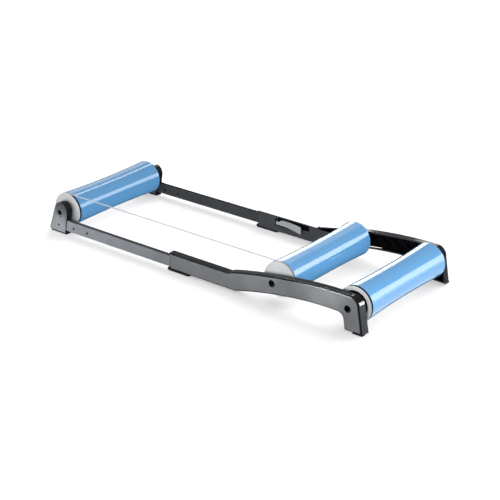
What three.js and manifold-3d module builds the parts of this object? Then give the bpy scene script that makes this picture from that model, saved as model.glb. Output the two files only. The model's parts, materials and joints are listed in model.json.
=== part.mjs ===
// Retractable bicycle rollers: three hourglass drums between two moulded rails.
// The front third, with its drum and brackets, rides on two steel tubes that slide into the rails.
// Millimetres, +Z up. +X points from the front drum to the two rear drums.
// The belt side, the rider's left, is -Y. The origin is on the floor under the middle of the object.
// Stations are distances from the front end. Depths are distances inwards from a rail's outer face.
import * as THREE from "three";
import { mergeVertices } from "three/addons/utils/BufferGeometryUtils.js";
import Module from "manifold-3d";

const wasm = await Module();
wasm.setup();

// Whole object
const LENGTH_OVER_FEET = 1350;
const WIDTH = 496;
const GAP = 0.3;

// Drums
const AXLE_HEIGHT = 77.5;
const FRONT_AXLE = 57;
const MIDDLE_AXLE = 1006;
const REAR_AXLE = 1296;
const DRUM_HALF = 210.2;
const DRUM_END_RADIUS = 60;
const DRUM_WAIST_RADIUS = 53.5;
const WAIST_HALF = 100;
const SHELL_WALL = 4.5;
const SPIGOT_LENGTH = 14;
const SPIGOT_RADIUS = 53.6;
const LEFT_FLANGE = 4.5;
const GROOVE_WIDTH = 6.5;
const GROOVE_RADIUS = 56.2;
const RIGHT_FLANGE = 4;
const RIGHT_LIP_RADIUS = 57;
const CAP_WEB = 3.5;
const CAP_DISH = 1.5;
const BEARING_RADIUS = 13;
const BEARING_WIDTH = 7.7;
const BEARING_INSET = 2.8;
const AXLE_RADIUS = 5;
const AXLE_SHOULDER_RADIUS = 6.6;
const DRUM_SIDES = 24;

// Belt
const BELT_THICKNESS = 2.8;
const BELT_LIFT = 0.5;
const BELT_RADIUS = GROOVE_RADIUS + BELT_LIFT + BELT_THICKNESS;
const BELT_DEPTH = WIDTH / 2 - DRUM_HALF + LEFT_FLANGE + GROOVE_WIDTH / 2;

// The object reaches from the front drum's rim to the rear drum's, and both stand out past the feet.
const MIDDLE = (FRONT_AXLE + REAR_AXLE) / 2;

// Rails
const RAIL_DEPTH = 27;
const RAIL_WALL = 4;
const RAIL_EDGE = 4.6;
const MOUTH = 573;
const SLEEVE_TOP = 64.6;
const SLEEVE_BOTTOM = 6.3;
const BEND = 838;
const BEND_FILLET = 14;
const ARCH_TOP = 123.2;
const REAR_CORNER_RADIUS = 33;
const REAR_CORNER = 1303;
const REAR_FLARE = 5;
const REAR_SLANT = 4;
const FOOT_LEAN = THREE.MathUtils.degToRad(9);
const FOOT_BOTTOM = 4.3;
const FOOT_FRONT = 1284.5;
const FOOT_HEEL = 36;
const FOOT_FILLET = 56;
const FLANGE = 4.5;
const PAD_NOSE = 8.5;
const MIDDLE_PAD_REACH = 92;
const REAR_PAD_DEPTH = 19;
const LEVEL_WALL_TOP = 61;
const LEVEL_WALL_END = 950;
const RIB_START = 800;
const RIB_PITCH = 48;
const RIB_THICKNESS = 2;
const RIB_DEPTH = 11;
const BOSS_RADIUS = 15;
const HEAD_RECESS_RADIUS = 11.3;
const HEAD_RECESS_DEPTH = 8;
const AXLE_HOLE_RADIUS = 5.5;

// Tubes
const TUBE_HEIGHT = 42.2;
const TUBE_WIDTH = 14.3;
const TUBE_BOTTOM = 12.1;
const TUBE_DEPTH = 4;
const TUBE_WALL = 1.5;
const TUBE_CORNER = 3;
const TUBE_FRONT = 24;
const TUBE_REAR = 720;
const TUBE_TRAVEL = 474;
const TUBE_MIDDLE = TUBE_BOTTOM + TUBE_HEIGHT / 2;
const WHEELBASE_HOLES = [49, 119, 185];
const WHEELBASE_HOLE_Z = 30;
const WHEELBASE_HOLE_RADIUS = 3.2;
const GUIDE_LENGTH = 22;

// Front brackets
const BRACKET_HEAD = [63.5, 86];
const BRACKET_HEAD_RADIUS = 30.5;
const BRACKET_FRONT_LEAN = THREE.MathUtils.degToRad(20.9);
const BRACKET_REAR_LEAN = THREE.MathUtils.degToRad(11);
const BRACKET_BOTTOM = 5;
const BRACKET_HOLE_RADIUS = 9;
const SOCKET_WALL = 4;

// Lock levers
const LEVER_PIVOT = 657;
const LEVER_PIVOT_DEPTH = 23.8;
const LEVER_END = 774;
const LEVER_BOTTOM = 29;
const LEVER_TOP = 54;
const LEVER_THICKNESS = 3.2;
const KNUCKLE_RADIUS = 3.6;
const KNUCKLE_BOTTOM = 33;
const KNUCKLE_TOP = 44;
const PIVOT_RADIUS = 1.8;
const LOCK_PIN = 690;
const LOCK_PIN_RADIUS = 3.2;

// The arch's top and underside: each is one curve through a start, two steering points and an end.
const TOP_CURVE = [
  [BEND, 69.5],
  [844, 73],
  [1071, ARCH_TOP],
  [1262, ARCH_TOP],
];
const UNDERSIDE_CURVE = [
  [1256, 57.4],
  [1220, 57.4],
  [1078, 64.9],
  [853, SLEEVE_BOTTOM],
];

const COLOURS = {
  drum: { color: 0x5b9bd8, roughness: 0.22, metalness: 0.0 },
  cap: { color: 0xe4e7ea, roughness: 0.45, metalness: 0.0 },
  rail: { color: 0x34373b, roughness: 0.5, metalness: 0.0 },
  tube: { color: 0x6f757b, roughness: 0.45, metalness: 0.6 },
  rubber: { color: 0x17181a, roughness: 0.85, metalness: 0.0 },
  steel: { color: 0xa9adb2, roughness: 0.35, metalness: 1.0 },
  blackSteel: { color: 0x1d1f21, roughness: 0.4, metalness: 0.8 },
  lever: { color: 0xb4b8bb, roughness: 0.5, metalness: 0.0 },
  belt: { color: 0xd5d8da, roughness: 0.4, metalness: 0.0 },
};

// Shapes and booleans

function toSolid(geometry) {
  const bare = geometry.clone();
  bare.deleteAttribute("normal");
  bare.deleteAttribute("uv");
  const merged = mergeVertices(bare, 1e-4);
  return new wasm.Manifold(
    new wasm.Mesh({
      numProp: 3,
      vertProperties: new Float32Array(merged.attributes.position.array),
      triVerts: new Uint32Array(merged.index.array),
    }),
  );
}

function toGeometry(solid) {
  const mesh = solid.getMesh();
  const geometry = new THREE.BufferGeometry();
  geometry.setAttribute("position", new THREE.BufferAttribute(mesh.vertProperties, 3));
  geometry.setIndex(new THREE.BufferAttribute(mesh.triVerts, 1));
  geometry.computeVertexNormals();
  return geometry;
}

// A side-view shape of stations and heights, from one depth to another.
function slab(shape, from, to, curveSegments = 6) {
  const geometry = new THREE.ExtrudeGeometry(shape, { depth: to - from, bevelEnabled: false, curveSegments });
  geometry.rotateX(Math.PI / 2);
  geometry.translate(0, to, 0);
  return toSolid(geometry);
}

// The same with its outer edge rounded by the given radius.
function roundedSlab(shape, depth, edge, curveSegments = 6) {
  const geometry = new THREE.ExtrudeGeometry(shape, {
    depth: depth,
    bevelEnabled: true,
    bevelSize: edge,
    bevelOffset: -edge,
    bevelThickness: edge,
    bevelSegments: 2,
    curveSegments,
  });
  geometry.rotateX(Math.PI / 2);
  geometry.translate(0, depth + edge, 0);
  const beyond = block(-100, LENGTH_OVER_FEET + 100, depth, depth + 3 * edge, -100, 300);
  return toSolid(geometry).subtract(beyond);
}

// A cross-section of depths and heights, run along the stations.
function bar(shape, from, to, curveSegments = 3) {
  const geometry = new THREE.ExtrudeGeometry(shape, { depth: to - from, bevelEnabled: false, curveSegments });
  const turn = new THREE.Matrix4().makeBasis(
    new THREE.Vector3(0, 1, 0),
    new THREE.Vector3(0, 0, 1),
    new THREE.Vector3(1, 0, 0),
  );
  geometry.applyMatrix4(turn);
  geometry.translate(from, 0, 0);
  return toSolid(geometry);
}

// A plan-view shape of stations and depths, from one height to another.
function plate(shape, from, to, curveSegments = 6) {
  const geometry = new THREE.ExtrudeGeometry(shape, { depth: to - from, bevelEnabled: false, curveSegments });
  geometry.translate(0, 0, from);
  return toSolid(geometry);
}

function block(x0, x1, y0, y1, z0, z1) {
  const geometry = new THREE.BoxGeometry(x1 - x0, y1 - y0, z1 - z0);
  geometry.translate((x0 + x1) / 2, (y0 + y1) / 2, (z0 + z1) / 2);
  return toSolid(geometry);
}

// A round bar across the rails, at a station and height.
function crossRod(station, height, radius, from, to, sides = 20) {
  const geometry = new THREE.CylinderGeometry(radius, radius, to - from, sides);
  geometry.translate(station, (from + to) / 2, height);
  return toSolid(geometry);
}

function uprightRod(station, depth, radius, from, to, sides = 12) {
  const geometry = new THREE.CylinderGeometry(radius, radius, to - from, sides);
  geometry.rotateX(Math.PI / 2);
  geometry.translate(station, depth, (from + to) / 2);
  return toSolid(geometry);
}

// A solid turned about the Y axis, from a profile of [radius, position] pairs that runs round its section.
function turned(profile, sides) {
  const points = profile.map(([radius, position]) => new THREE.Vector2(radius, position));
  return toSolid(new THREE.LatheGeometry(points, sides));
}

function polygon(points) {
  return new THREE.Shape(points.map(([x, y]) => new THREE.Vector2(x, y)));
}

function roundedBox(x0, x1, y0, y1, radius) {
  const shape = new THREE.Shape();
  shape.absarc(x1 - radius, y0 + radius, radius, -Math.PI / 2, 0, false);
  shape.absarc(x1 - radius, y1 - radius, radius, 0, Math.PI / 2, false);
  shape.absarc(x0 + radius, y1 - radius, radius, Math.PI / 2, Math.PI, false);
  shape.absarc(x0 + radius, y0 + radius, radius, Math.PI, Math.PI * 1.5, false);
  shape.closePath();
  return shape;
}

function piece(name, solid, look) {
  const mesh = new THREE.Mesh(toGeometry(solid), new THREE.MeshStandardMaterial(COLOURS[look]));
  mesh.name = name;
  return mesh;
}

// Rails

const cornerCentreZ = ARCH_TOP - REAR_CORNER_RADIUS;
const leanX = Math.sin(FOOT_LEAN);
const leanZ = Math.cos(FOOT_LEAN);

// The x of the leaning rear face at a height, drawn in by an inset.
function rearFaceX(height, inset) {
  const reach = REAR_CORNER_RADIUS - inset;
  const tangentX = REAR_CORNER + reach * leanZ;
  const tangentZ = cornerCentreZ + reach * leanX;
  return tangentX + ((tangentZ - height) * leanX) / leanZ;
}

// The x of the foot's leaning front face at a height.
function footFaceX(height) {
  return FOOT_FRONT - ((height - FOOT_BOTTOM) * leanX) / leanZ;
}

// Draws a curve given by a start, two steering points and an end, raised by some millimetres.
function drawCurve(shape, points, raised, steps) {
  const [start, first, second, end] = points.map(([x, z]) => new THREE.Vector2(x, z + raised));
  for (const point of new THREE.CubicBezierCurve(start, first, second, end).getPoints(steps)) {
    shape.lineTo(point.x, point.y);
  }
}

// The top and rear of the rail, drawn in by an inset: the arch, the level stretch and the rear corner.
function drawTopAndRear(shape, inset, bottom) {
  drawCurve(shape, TOP_CURVE, -inset, 8);
  shape.absarc(REAR_CORNER, cornerCentreZ, REAR_CORNER_RADIUS - inset, Math.PI / 2, FOOT_LEAN, true);
  shape.lineTo(rearFaceX(bottom, inset), bottom);
}

// The whole silhouette: sleeve, bend, arch and rear foot.
function railOutline() {
  const [[archEnd, archEndZ]] = UNDERSIDE_CURVE;
  const [[bend, bendZ]] = TOP_CURVE;
  const shape = new THREE.Shape();
  shape.moveTo(MOUTH, SLEEVE_BOTTOM + 11);
  shape.lineTo(MOUTH, SLEEVE_TOP);
  shape.lineTo(bend - BEND_FILLET, SLEEVE_TOP);
  shape.quadraticCurveTo(bend - BEND_FILLET / 2, SLEEVE_TOP, bend, bendZ);
  drawTopAndRear(shape, 0, FOOT_BOTTOM);
  shape.lineTo(FOOT_FRONT, FOOT_BOTTOM);
  shape.lineTo(footFaceX(FOOT_HEEL), FOOT_HEEL);
  shape.quadraticCurveTo(footFaceX(FOOT_FILLET), FOOT_FILLET, archEnd, archEndZ);
  drawCurve(shape, UNDERSIDE_CURVE, 0, 8);
  shape.lineTo(MOUTH + 5, SLEEVE_BOTTOM);
  shape.closePath();
  return shape;
}

// The open pocket behind the outer wall, between the top, bottom and rear flanges.
function pocketSolid() {
  const [[archEnd, archEndZ]] = UNDERSIDE_CURVE;
  const shape = new THREE.Shape();
  shape.moveTo(LEVEL_WALL_END, LEVEL_WALL_TOP);
  shape.lineTo(BEND + 4, LEVEL_WALL_TOP);
  drawTopAndRear(shape, FLANGE, FOOT_BOTTOM + FLANGE);
  shape.lineTo(FOOT_FRONT + FLANGE, FOOT_BOTTOM + FLANGE);
  shape.lineTo(footFaceX(FOOT_HEEL) + FLANGE, FOOT_HEEL);
  shape.quadraticCurveTo(footFaceX(FOOT_FILLET) + FLANGE, FOOT_FILLET + FLANGE, archEnd, archEndZ + FLANGE);
  drawCurve(shape, UNDERSIDE_CURVE, FLANGE, 8);
  shape.closePath();
  const room = slab(shape, RAIL_WALL, RAIL_DEPTH + 5, 3);
  return room.subtract(block(0, LEVEL_WALL_END, 0, RAIL_DEPTH + 6, -20, LEVEL_WALL_TOP));
}

// The rear end stands out inwards and backwards, more and more towards its inner edge.
function flareRear(solid) {
  return solid.warp((point) => {
    const share = THREE.MathUtils.clamp((point[0] - REAR_CORNER) / REAR_CORNER_RADIUS, 0, 1);
    const depth = Math.max(point[1], 0) / RAIL_DEPTH;
    point[0] += REAR_SLANT * share * depth;
    point[1] += REAR_FLARE * share * depth;
  });
}

// Crossing diagonal ribs against the outer wall, seen through the open inner side.
function latticeRibs() {
  const height = ARCH_TOP;
  const width = RIB_THICKNESS * Math.SQRT2;
  let ribs = null;
  for (let foot = RIB_START; foot < REAR_CORNER + 60; foot += RIB_PITCH) {
    for (const lean of [-1, 1]) {
      const top = foot + lean * height;
      const strip = polygon([
        [foot - width / 2, 0],
        [foot + width / 2, 0],
        [top + width / 2, height],
        [top - width / 2, height],
      ]);
      const rib = slab(strip, RAIL_WALL - 1, RIB_DEPTH + RAIL_WALL);
      ribs = ribs ? ribs.add(rib) : rib;
    }
  }
  return ribs;
}

// The tube's running channel through the sleeve and along the inside of the arch.
function tubeChannel() {
  const reach = TUBE_REAR + TUBE_TRAVEL + 6;
  return block(
    MOUTH - 10,
    reach,
    TUBE_DEPTH - GAP,
    TUBE_DEPTH + TUBE_WIDTH + GAP,
    TUBE_BOTTOM - GAP,
    TUBE_BOTTOM + TUBE_HEIGHT + GAP,
  );
}

// Room in the sleeve's inner wall for the lever, its knuckle and the fingers behind its free end.
function leverRecess() {
  const floor = TUBE_DEPTH + TUBE_WIDTH + GAP + 1.2;
  const lever = roundedBox(LEVER_PIVOT - 5.5, LEVER_PIVOT + 92, LEVER_BOTTOM - 1.5, LEVER_TOP + 1.5, 3);
  const fingers = roundedBox(LEVER_PIVOT + 5, LEVER_PIVOT + 143, 41, 61, 4);
  return slab(lever, floor, RAIL_DEPTH + 5, 2).add(slab(fingers, floor, RAIL_DEPTH + 5, 2));
}

function railSolid() {
  const body = flareRear(roundedSlab(railOutline(), RAIL_DEPTH, RAIL_EDGE, 3));
  let rail = body.subtract(flareRear(pocketSolid())).add(latticeRibs().intersect(body));
  for (const station of [MIDDLE_AXLE, REAR_AXLE]) {
    rail = rail.add(crossRod(station, AXLE_HEIGHT, BOSS_RADIUS, RAIL_WALL - 1, RAIL_DEPTH, 12));
    rail = rail.subtract(crossRod(station, AXLE_HEIGHT, HEAD_RECESS_RADIUS, -5, HEAD_RECESS_DEPTH, 12));
    rail = rail.subtract(crossRod(station, AXLE_HEIGHT, AXLE_HOLE_RADIUS, -5, RAIL_DEPTH + 5, 10));
  }
  rail = rail.subtract(tubeChannel()).subtract(leverRecess());
  rail = rail.subtract(crossRod(LOCK_PIN, TUBE_MIDDLE, LOCK_PIN_RADIUS + 1, RAIL_DEPTH - 12, RAIL_DEPTH, 10));
  rail = rail.subtract(uprightRod(LEVER_PIVOT, LEVER_PIVOT_DEPTH, PIVOT_RADIUS + GAP, 20, 62, 8));
  return rail;
}

// Rubber pads: a side profile with a rounded front lower corner.
function padSolid(x0, x1, height, front, rearShift = 0, depth = RAIL_DEPTH - 1) {
  const shape = new THREE.Shape();
  shape.moveTo(x0 + front, 0);
  shape.lineTo(x1, 0);
  shape.lineTo(x1 - rearShift, height - GAP);
  shape.lineTo(x0, height - GAP);
  shape.quadraticCurveTo(x0, 0, x0 + front, 0);
  return slab(shape, 1, depth, 3);
}

function rearPad() {
  const rear = rearFaceX(0, 0);
  return padSolid(rear - 37, rear, FOOT_BOTTOM, 3, (FOOT_BOTTOM * leanX) / leanZ, REAR_PAD_DEPTH);
}

// The pad under the sleeve's mouth. Its rounded nose stands out in front of the mouth, below the tube.
function middlePad() {
  const top = SLEEVE_BOTTOM - GAP;
  const nose = MOUTH - PAD_NOSE;
  const rear = MOUTH + MIDDLE_PAD_REACH;
  const noseTop = TUBE_BOTTOM - 1;
  const shape = new THREE.Shape();
  shape.moveTo(nose + 11, 0);
  shape.lineTo(rear - 18, 0);
  shape.quadraticCurveTo(rear - 5, 0, rear, top);
  shape.lineTo(MOUTH + 4.4, top);
  shape.lineTo(MOUTH + 2, noseTop);
  shape.lineTo(nose + 2, noseTop);
  shape.quadraticCurveTo(nose, noseTop, nose, noseTop - 3);
  shape.quadraticCurveTo(nose, 0, nose + 11, 0);
  return slab(shape, 1, RAIL_DEPTH - 1, 3);
}

// Tubes

function tubeSection(inset) {
  return roundedBox(
    TUBE_DEPTH + inset,
    TUBE_DEPTH + TUBE_WIDTH - inset,
    TUBE_BOTTOM + inset,
    TUBE_BOTTOM + TUBE_HEIGHT - inset,
    TUBE_CORNER - Math.min(inset, 2),
  );
}

function tubeSolid() {
  let tube = bar(tubeSection(0), TUBE_FRONT, TUBE_REAR, 1);
  tube = tube.subtract(bar(tubeSection(TUBE_WALL), TUBE_FRONT - 5, TUBE_REAR + 5, 1));
  for (const station of WHEELBASE_HOLES) {
    tube = tube.subtract(crossRod(station, WHEELBASE_HOLE_Z, WHEELBASE_HOLE_RADIUS, 0, RAIL_DEPTH, 8));
  }
  tube = tube.subtract(crossRod(LOCK_PIN, TUBE_MIDDLE, LOCK_PIN_RADIUS + 0.5, TUBE_DEPTH + 8, RAIL_DEPTH, 8));
  return tube;
}

// The plastic plug that closes the tube's rear end and guides it in the channel.
function guideSolid() {
  const plug = bar(tubeSection(TUBE_WALL + GAP), TUBE_REAR - GUIDE_LENGTH, TUBE_REAR + 1, 1);
  const flange = bar(tubeSection(0), TUBE_REAR + GAP, TUBE_REAR + 4, 1);
  return plug.add(flange);
}

// Front brackets

const headTangent = (lean, side) => [
  BRACKET_HEAD[0] + side * BRACKET_HEAD_RADIUS * Math.cos(lean),
  BRACKET_HEAD[1] - side * BRACKET_HEAD_RADIUS * Math.sin(lean),
];

// A leaning plate with a round head and a splayed foot, drawn in by an inset.
function bracketOutline(inset, bottom) {
  const radius = BRACKET_HEAD_RADIUS - inset;
  const [frontX, frontZ] = headTangent(BRACKET_FRONT_LEAN, -1);
  const [rearX, rearZ] = headTangent(BRACKET_REAR_LEAN, 1);
  const frontFoot = frontX + inset / Math.cos(BRACKET_FRONT_LEAN) - (frontZ - bottom) * Math.tan(BRACKET_FRONT_LEAN);
  const rearFoot = rearX - inset / Math.cos(BRACKET_REAR_LEAN) - (rearZ - bottom) * Math.tan(BRACKET_REAR_LEAN);
  const shape = new THREE.Shape();
  shape.moveTo(frontFoot + 5, bottom);
  shape.lineTo(rearFoot, bottom);
  shape.absarc(
    BRACKET_HEAD[0],
    BRACKET_HEAD[1],
    radius,
    -BRACKET_REAR_LEAN,
    Math.PI - BRACKET_FRONT_LEAN,
    false,
  );
  shape.lineTo(frontFoot + 5 * Math.tan(BRACKET_FRONT_LEAN), bottom + 5);
  shape.closePath();
  return shape;
}

function bracketSolid() {
  const socketTop = TUBE_BOTTOM + TUBE_HEIGHT + GAP + SOCKET_WALL;
  let bracket = roundedSlab(bracketOutline(0, BRACKET_BOTTOM), RAIL_DEPTH, RAIL_EDGE, 6);
  const hollow = slab(bracketOutline(SOCKET_WALL, socketTop), RAIL_WALL, RAIL_DEPTH + 5, 5);
  bracket = bracket.subtract(hollow);
  bracket = bracket.add(crossRod(FRONT_AXLE, AXLE_HEIGHT, BOSS_RADIUS - 2, RAIL_WALL - 1, RAIL_DEPTH, 16));
  bracket = bracket.subtract(crossRod(FRONT_AXLE, AXLE_HEIGHT, BRACKET_HOLE_RADIUS, -5, HEAD_RECESS_DEPTH, 16));
  bracket = bracket.subtract(crossRod(FRONT_AXLE, AXLE_HEIGHT, AXLE_HOLE_RADIUS, -5, RAIL_DEPTH + 5, 12));
  const socket = block(
    TUBE_FRONT - GAP,
    TUBE_FRONT + 90,
    TUBE_DEPTH - GAP,
    TUBE_DEPTH + TUBE_WIDTH + GAP,
    TUBE_BOTTOM - GAP,
    TUBE_BOTTOM + TUBE_HEIGHT + GAP,
  );
  const [screw] = WHEELBASE_HOLES;
  bracket = bracket.subtract(socket);
  bracket = bracket.subtract(crossRod(screw, WHEELBASE_HOLE_Z, 4.3, -5, 2.3, 10));
  bracket = bracket.subtract(crossRod(screw, WHEELBASE_HOLE_Z, 2.6, -5, RAIL_DEPTH - 3, 8));
  return bracket;
}

// Fasteners

// A socket-head screw, its head at the outer side.
function screwSolid(station, height, head, shank, top, under, tip) {
  const profile = [
    [0, top],
    [head, top],
    [head, under],
    [shank, under],
    [shank, tip],
    [0, tip],
  ];
  const hexagon = new THREE.CylinderGeometry(head * 0.5, head * 0.5, 5, 6);
  hexagon.translate(0, top, 0);
  const solid = turned(profile, 8).subtract(toSolid(hexagon));
  return solid.translate([station, 0, height]);
}

// Drums

// Where a drum's outer end faces lie, as depths from the near rail's outer face, is the same on both sides.
const DRUM_DEPTH = WIDTH / 2 - DRUM_HALF;

function shellSolid() {
  const left = -DRUM_HALF + LEFT_FLANGE + GROOVE_WIDTH + GAP;
  const right = DRUM_HALF - RIGHT_FLANGE - 2 * GAP;
  const bore = SPIGOT_RADIUS + GAP;
  const seat = SPIGOT_LENGTH + 4;
  const waistBore = DRUM_WAIST_RADIUS - SHELL_WALL;
  const seatTaper = 24;
  const profile = [
    [DRUM_END_RADIUS, left],
    [DRUM_WAIST_RADIUS, -WAIST_HALF],
    [DRUM_WAIST_RADIUS, WAIST_HALF],
    [DRUM_END_RADIUS, right],
    [bore, right],
    [bore, right - seat],
    [waistBore, right - seat - seatTaper],
    [waistBore, left + seat + seatTaper],
    [bore, left + seat],
    [bore, left],
    [DRUM_END_RADIUS, left],
  ];
  return turned(profile, DRUM_SIDES);
}

// An end cap, drawn for the left end: its outer face at position 0 and the drum towards +Y.
function capProfile(flange, groove, rim) {
  const hub = BEARING_RADIUS + GAP;
  const seatEnd = BEARING_INSET + BEARING_WIDTH + GAP;
  const web = CAP_DISH + CAP_WEB;
  const shoulder = flange + groove;
  const spigotEnd = shoulder + SPIGOT_LENGTH;
  const inner = SPIGOT_RADIUS - 4;
  const grooved = [
    [rim, flange - 0.6],
    [GROOVE_RADIUS, flange + 0.9],
    [GROOVE_RADIUS, shoulder],
  ];
  const plain = [[rim, shoulder]];
  return [
    [hub, CAP_DISH],
    [SPIGOT_RADIUS - 0.1, CAP_DISH],
    [SPIGOT_RADIUS + 0.9, 0],
    [rim, 0],
    ...(groove ? grooved : plain),
    [SPIGOT_RADIUS, shoulder],
    [SPIGOT_RADIUS, spigotEnd],
    [inner, spigotEnd],
    [inner, web],
    [hub + 4, web],
    [hub, seatEnd],
    [hub, CAP_DISH],
  ];
}

function bearingProfile() {
  const bore = AXLE_RADIUS + 0.6;
  return [
    [bore, 0],
    [bore + 3, 0.6],
    [BEARING_RADIUS, 0],
    [BEARING_RADIUS, BEARING_WIDTH],
    [bore, BEARING_WIDTH],
    [bore, 0],
  ];
}

// A cross axle with shoulders between the bearings and a threaded bore in each end.
function axleSolid() {
  const end = WIDTH / 2 - HEAD_RECESS_DEPTH - 1;
  const shoulder = DRUM_HALF - BEARING_INSET - BEARING_WIDTH - GAP;
  const tapDepth = 16;
  const tap = 2.8;
  const profile = [
    [0, -end + tapDepth],
    [tap, -end + tapDepth],
    [tap, -end],
    [AXLE_RADIUS, -end],
    [AXLE_RADIUS, -shoulder],
    [AXLE_SHOULDER_RADIUS, -shoulder],
    [AXLE_SHOULDER_RADIUS, shoulder],
    [AXLE_RADIUS, shoulder],
    [AXLE_RADIUS, end],
    [tap, end],
    [tap, end - tapDepth],
    [0, end - tapDepth],
  ];
  return turned(profile, 10);
}

// The sleeve on the axle between a rail's boss and the bearing's inner ring.
function spacerSolid() {
  const from = RAIL_DEPTH + GAP;
  const to = DRUM_DEPTH + BEARING_INSET - GAP;
  const profile = [
    [AXLE_RADIUS + GAP + 0.1, from],
    [AXLE_RADIUS + 2.8, from],
    [AXLE_RADIUS + 2.8, to],
    [AXLE_RADIUS + GAP + 0.1, to],
    [AXLE_RADIUS + GAP + 0.1, from],
  ];
  return turned(profile, 8);
}

// A drum about its own axle, with its caps and bearings.
function drum(name) {
  const group = new THREE.Group();
  group.add(piece(`${name}_roller_shell`, shellSolid(), "drum"));
  for (const [side, turn] of [["left", 1], ["right", -1]]) {
    const end = new THREE.Group();
    const left = side === "left";
    const grooved = capProfile(LEFT_FLANGE, GROOVE_WIDTH, DRUM_END_RADIUS);
    const plain = capProfile(RIGHT_FLANGE, 0, RIGHT_LIP_RADIUS);
    const profile = left ? grooved : plain;
    const cap = piece(`${name}_roller_cap_${side}`, turned(profile, DRUM_SIDES), left ? "cap" : "rail");
    const bearing = piece(`${name}_roller_bearing_${side}`, turned(bearingProfile(), 12), "steel");
    bearing.position.y = BEARING_INSET;
    end.add(cap, bearing);
    end.scale.y = turn;
    end.position.y = -turn * DRUM_HALF;
    group.add(end);
  }
  return group;
}

// Belt

// A round-edged endless cord over the grooves of the front and middle drums.
function beltSolid() {
  const loop = (radius) => {
    const path = new THREE.Shape();
    path.absarc(MIDDLE_AXLE, AXLE_HEIGHT, radius, -Math.PI / 2, Math.PI / 2, false);
    path.absarc(FRONT_AXLE, AXLE_HEIGHT, radius, Math.PI / 2, Math.PI * 1.5, false);
    path.closePath();
    return path;
  };
  const shape = loop(BELT_RADIUS);
  shape.holes.push(loop(BELT_RADIUS - BELT_THICKNESS));
  const round = BELT_THICKNESS * 0.28;
  const geometry = new THREE.ExtrudeGeometry(shape, {
    depth: BELT_THICKNESS - 2 * round,
    bevelEnabled: true,
    bevelSize: round,
    bevelOffset: -round,
    bevelThickness: round,
    bevelSegments: 1,
    curveSegments: 6,
  });
  geometry.rotateX(Math.PI / 2);
  geometry.translate(0, BELT_DEPTH + BELT_THICKNESS / 2 - round, 0);
  return toSolid(geometry);
}

// Levers

// The blade hugs the rail from the pivot and flares away from it at the free end.
function leverSolid() {
  const pivot = LEVER_PIVOT;
  const face = RAIL_DEPTH;
  const back = face - LEVER_THICKNESS;
  const plan = new THREE.Shape();
  plan.moveTo(pivot, back - 0.6);
  plan.lineTo(pivot + 40, back + 1.4);
  plan.quadraticCurveTo(pivot + 76, back + 3.4, LEVER_END - 2, face + 11);
  plan.quadraticCurveTo(LEVER_END + 1.5, face + 13.5, LEVER_END - 1, face + 15);
  plan.quadraticCurveTo(pivot + 72, face + 5.6, pivot + 40, face + 2.6);
  plan.lineTo(pivot, face + 0.8);
  plan.closePath();
  const side = new THREE.Shape();
  side.moveTo(pivot - 3, LEVER_BOTTOM + 3);
  side.quadraticCurveTo(pivot - 3, LEVER_BOTTOM, pivot + 6, LEVER_BOTTOM);
  side.lineTo(LEVER_END - 6, LEVER_BOTTOM);
  side.quadraticCurveTo(LEVER_END + 3, LEVER_BOTTOM, LEVER_END + 3, LEVER_BOTTOM + 5);
  side.lineTo(LEVER_END + 3, LEVER_TOP - 5);
  side.quadraticCurveTo(LEVER_END + 3, LEVER_TOP, LEVER_END - 6, LEVER_TOP);
  side.lineTo(pivot + 34, LEVER_TOP);
  side.quadraticCurveTo(pivot + 18, LEVER_TOP - 1, pivot + 12, KNUCKLE_TOP);
  side.lineTo(pivot - 3, KNUCKLE_TOP);
  side.closePath();
  const blade = plate(plan, LEVER_BOTTOM, LEVER_TOP, 6).intersect(slab(side, RAIL_DEPTH - 15, RAIL_DEPTH + 25, 4));
  const notch = block(pivot - 8, pivot + 6, RAIL_DEPTH - 15, RAIL_DEPTH + 5, LEVER_BOTTOM - 2, KNUCKLE_BOTTOM);
  let lever = blade.subtract(notch);
  lever = lever.add(uprightRod(pivot, LEVER_PIVOT_DEPTH, KNUCKLE_RADIUS, KNUCKLE_BOTTOM, KNUCKLE_TOP, 16));
  lever = lever.subtract(uprightRod(pivot, LEVER_PIVOT_DEPTH, PIVOT_RADIUS + GAP, 20, 60, 8));
  lever = lever.subtract(crossRod(LOCK_PIN, TUBE_MIDDLE, LOCK_PIN_RADIUS - 1 + GAP, face - 10, face, 10));
  return lever;
}

// The steel pin that locks the tube, on a spigot pressed into the lever. It stops just short of the tube.
function lockPinSolid() {
  const tip = TUBE_DEPTH + TUBE_WIDTH + 0.6;
  const shoulder = RAIL_DEPTH - LEVER_THICKNESS - 0.4;
  const body = crossRod(LOCK_PIN, TUBE_MIDDLE, LOCK_PIN_RADIUS, tip, shoulder, 12);
  return body.add(crossRod(LOCK_PIN, TUBE_MIDDLE, LOCK_PIN_RADIUS - 1, shoulder - 1, RAIL_DEPTH - GAP, 10));
}

function pivotPinSolid() {
  return uprightRod(LEVER_PIVOT, LEVER_PIVOT_DEPTH, PIVOT_RADIUS, 20.5, 61.5, 8);
}

// The return spring under the knuckle: one wire, wound round the pivot pin.
function leverSpringSolid() {
  const turns = 2.5;
  const steps = turns * 8;
  const radius = 3;
  const wire = 0.5;
  const bottom = LEVER_BOTTOM - 0.4;
  const rise = KNUCKLE_BOTTOM - bottom - 2 * wire - 0.6;
  const points = [];
  for (let i = 0; i <= steps; i += 1) {
    const angle = (i / 8) * Math.PI * 2;
    const height = bottom + wire + (rise * i) / steps;
    points.push(
      new THREE.Vector3(
        LEVER_PIVOT + radius * Math.cos(angle),
        LEVER_PIVOT_DEPTH + radius * Math.sin(angle),
        height,
      ),
    );
  }
  const section = new THREE.Shape();
  section.absarc(0, 0, wire, 0, Math.PI * 2, false);
  const geometry = new THREE.ExtrudeGeometry(section, {
    steps,
    extrudePath: new THREE.CatmullRomCurve3(points),
    bevelEnabled: false,
    curveSegments: 2,
  });
  return toSolid(geometry);
}

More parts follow.
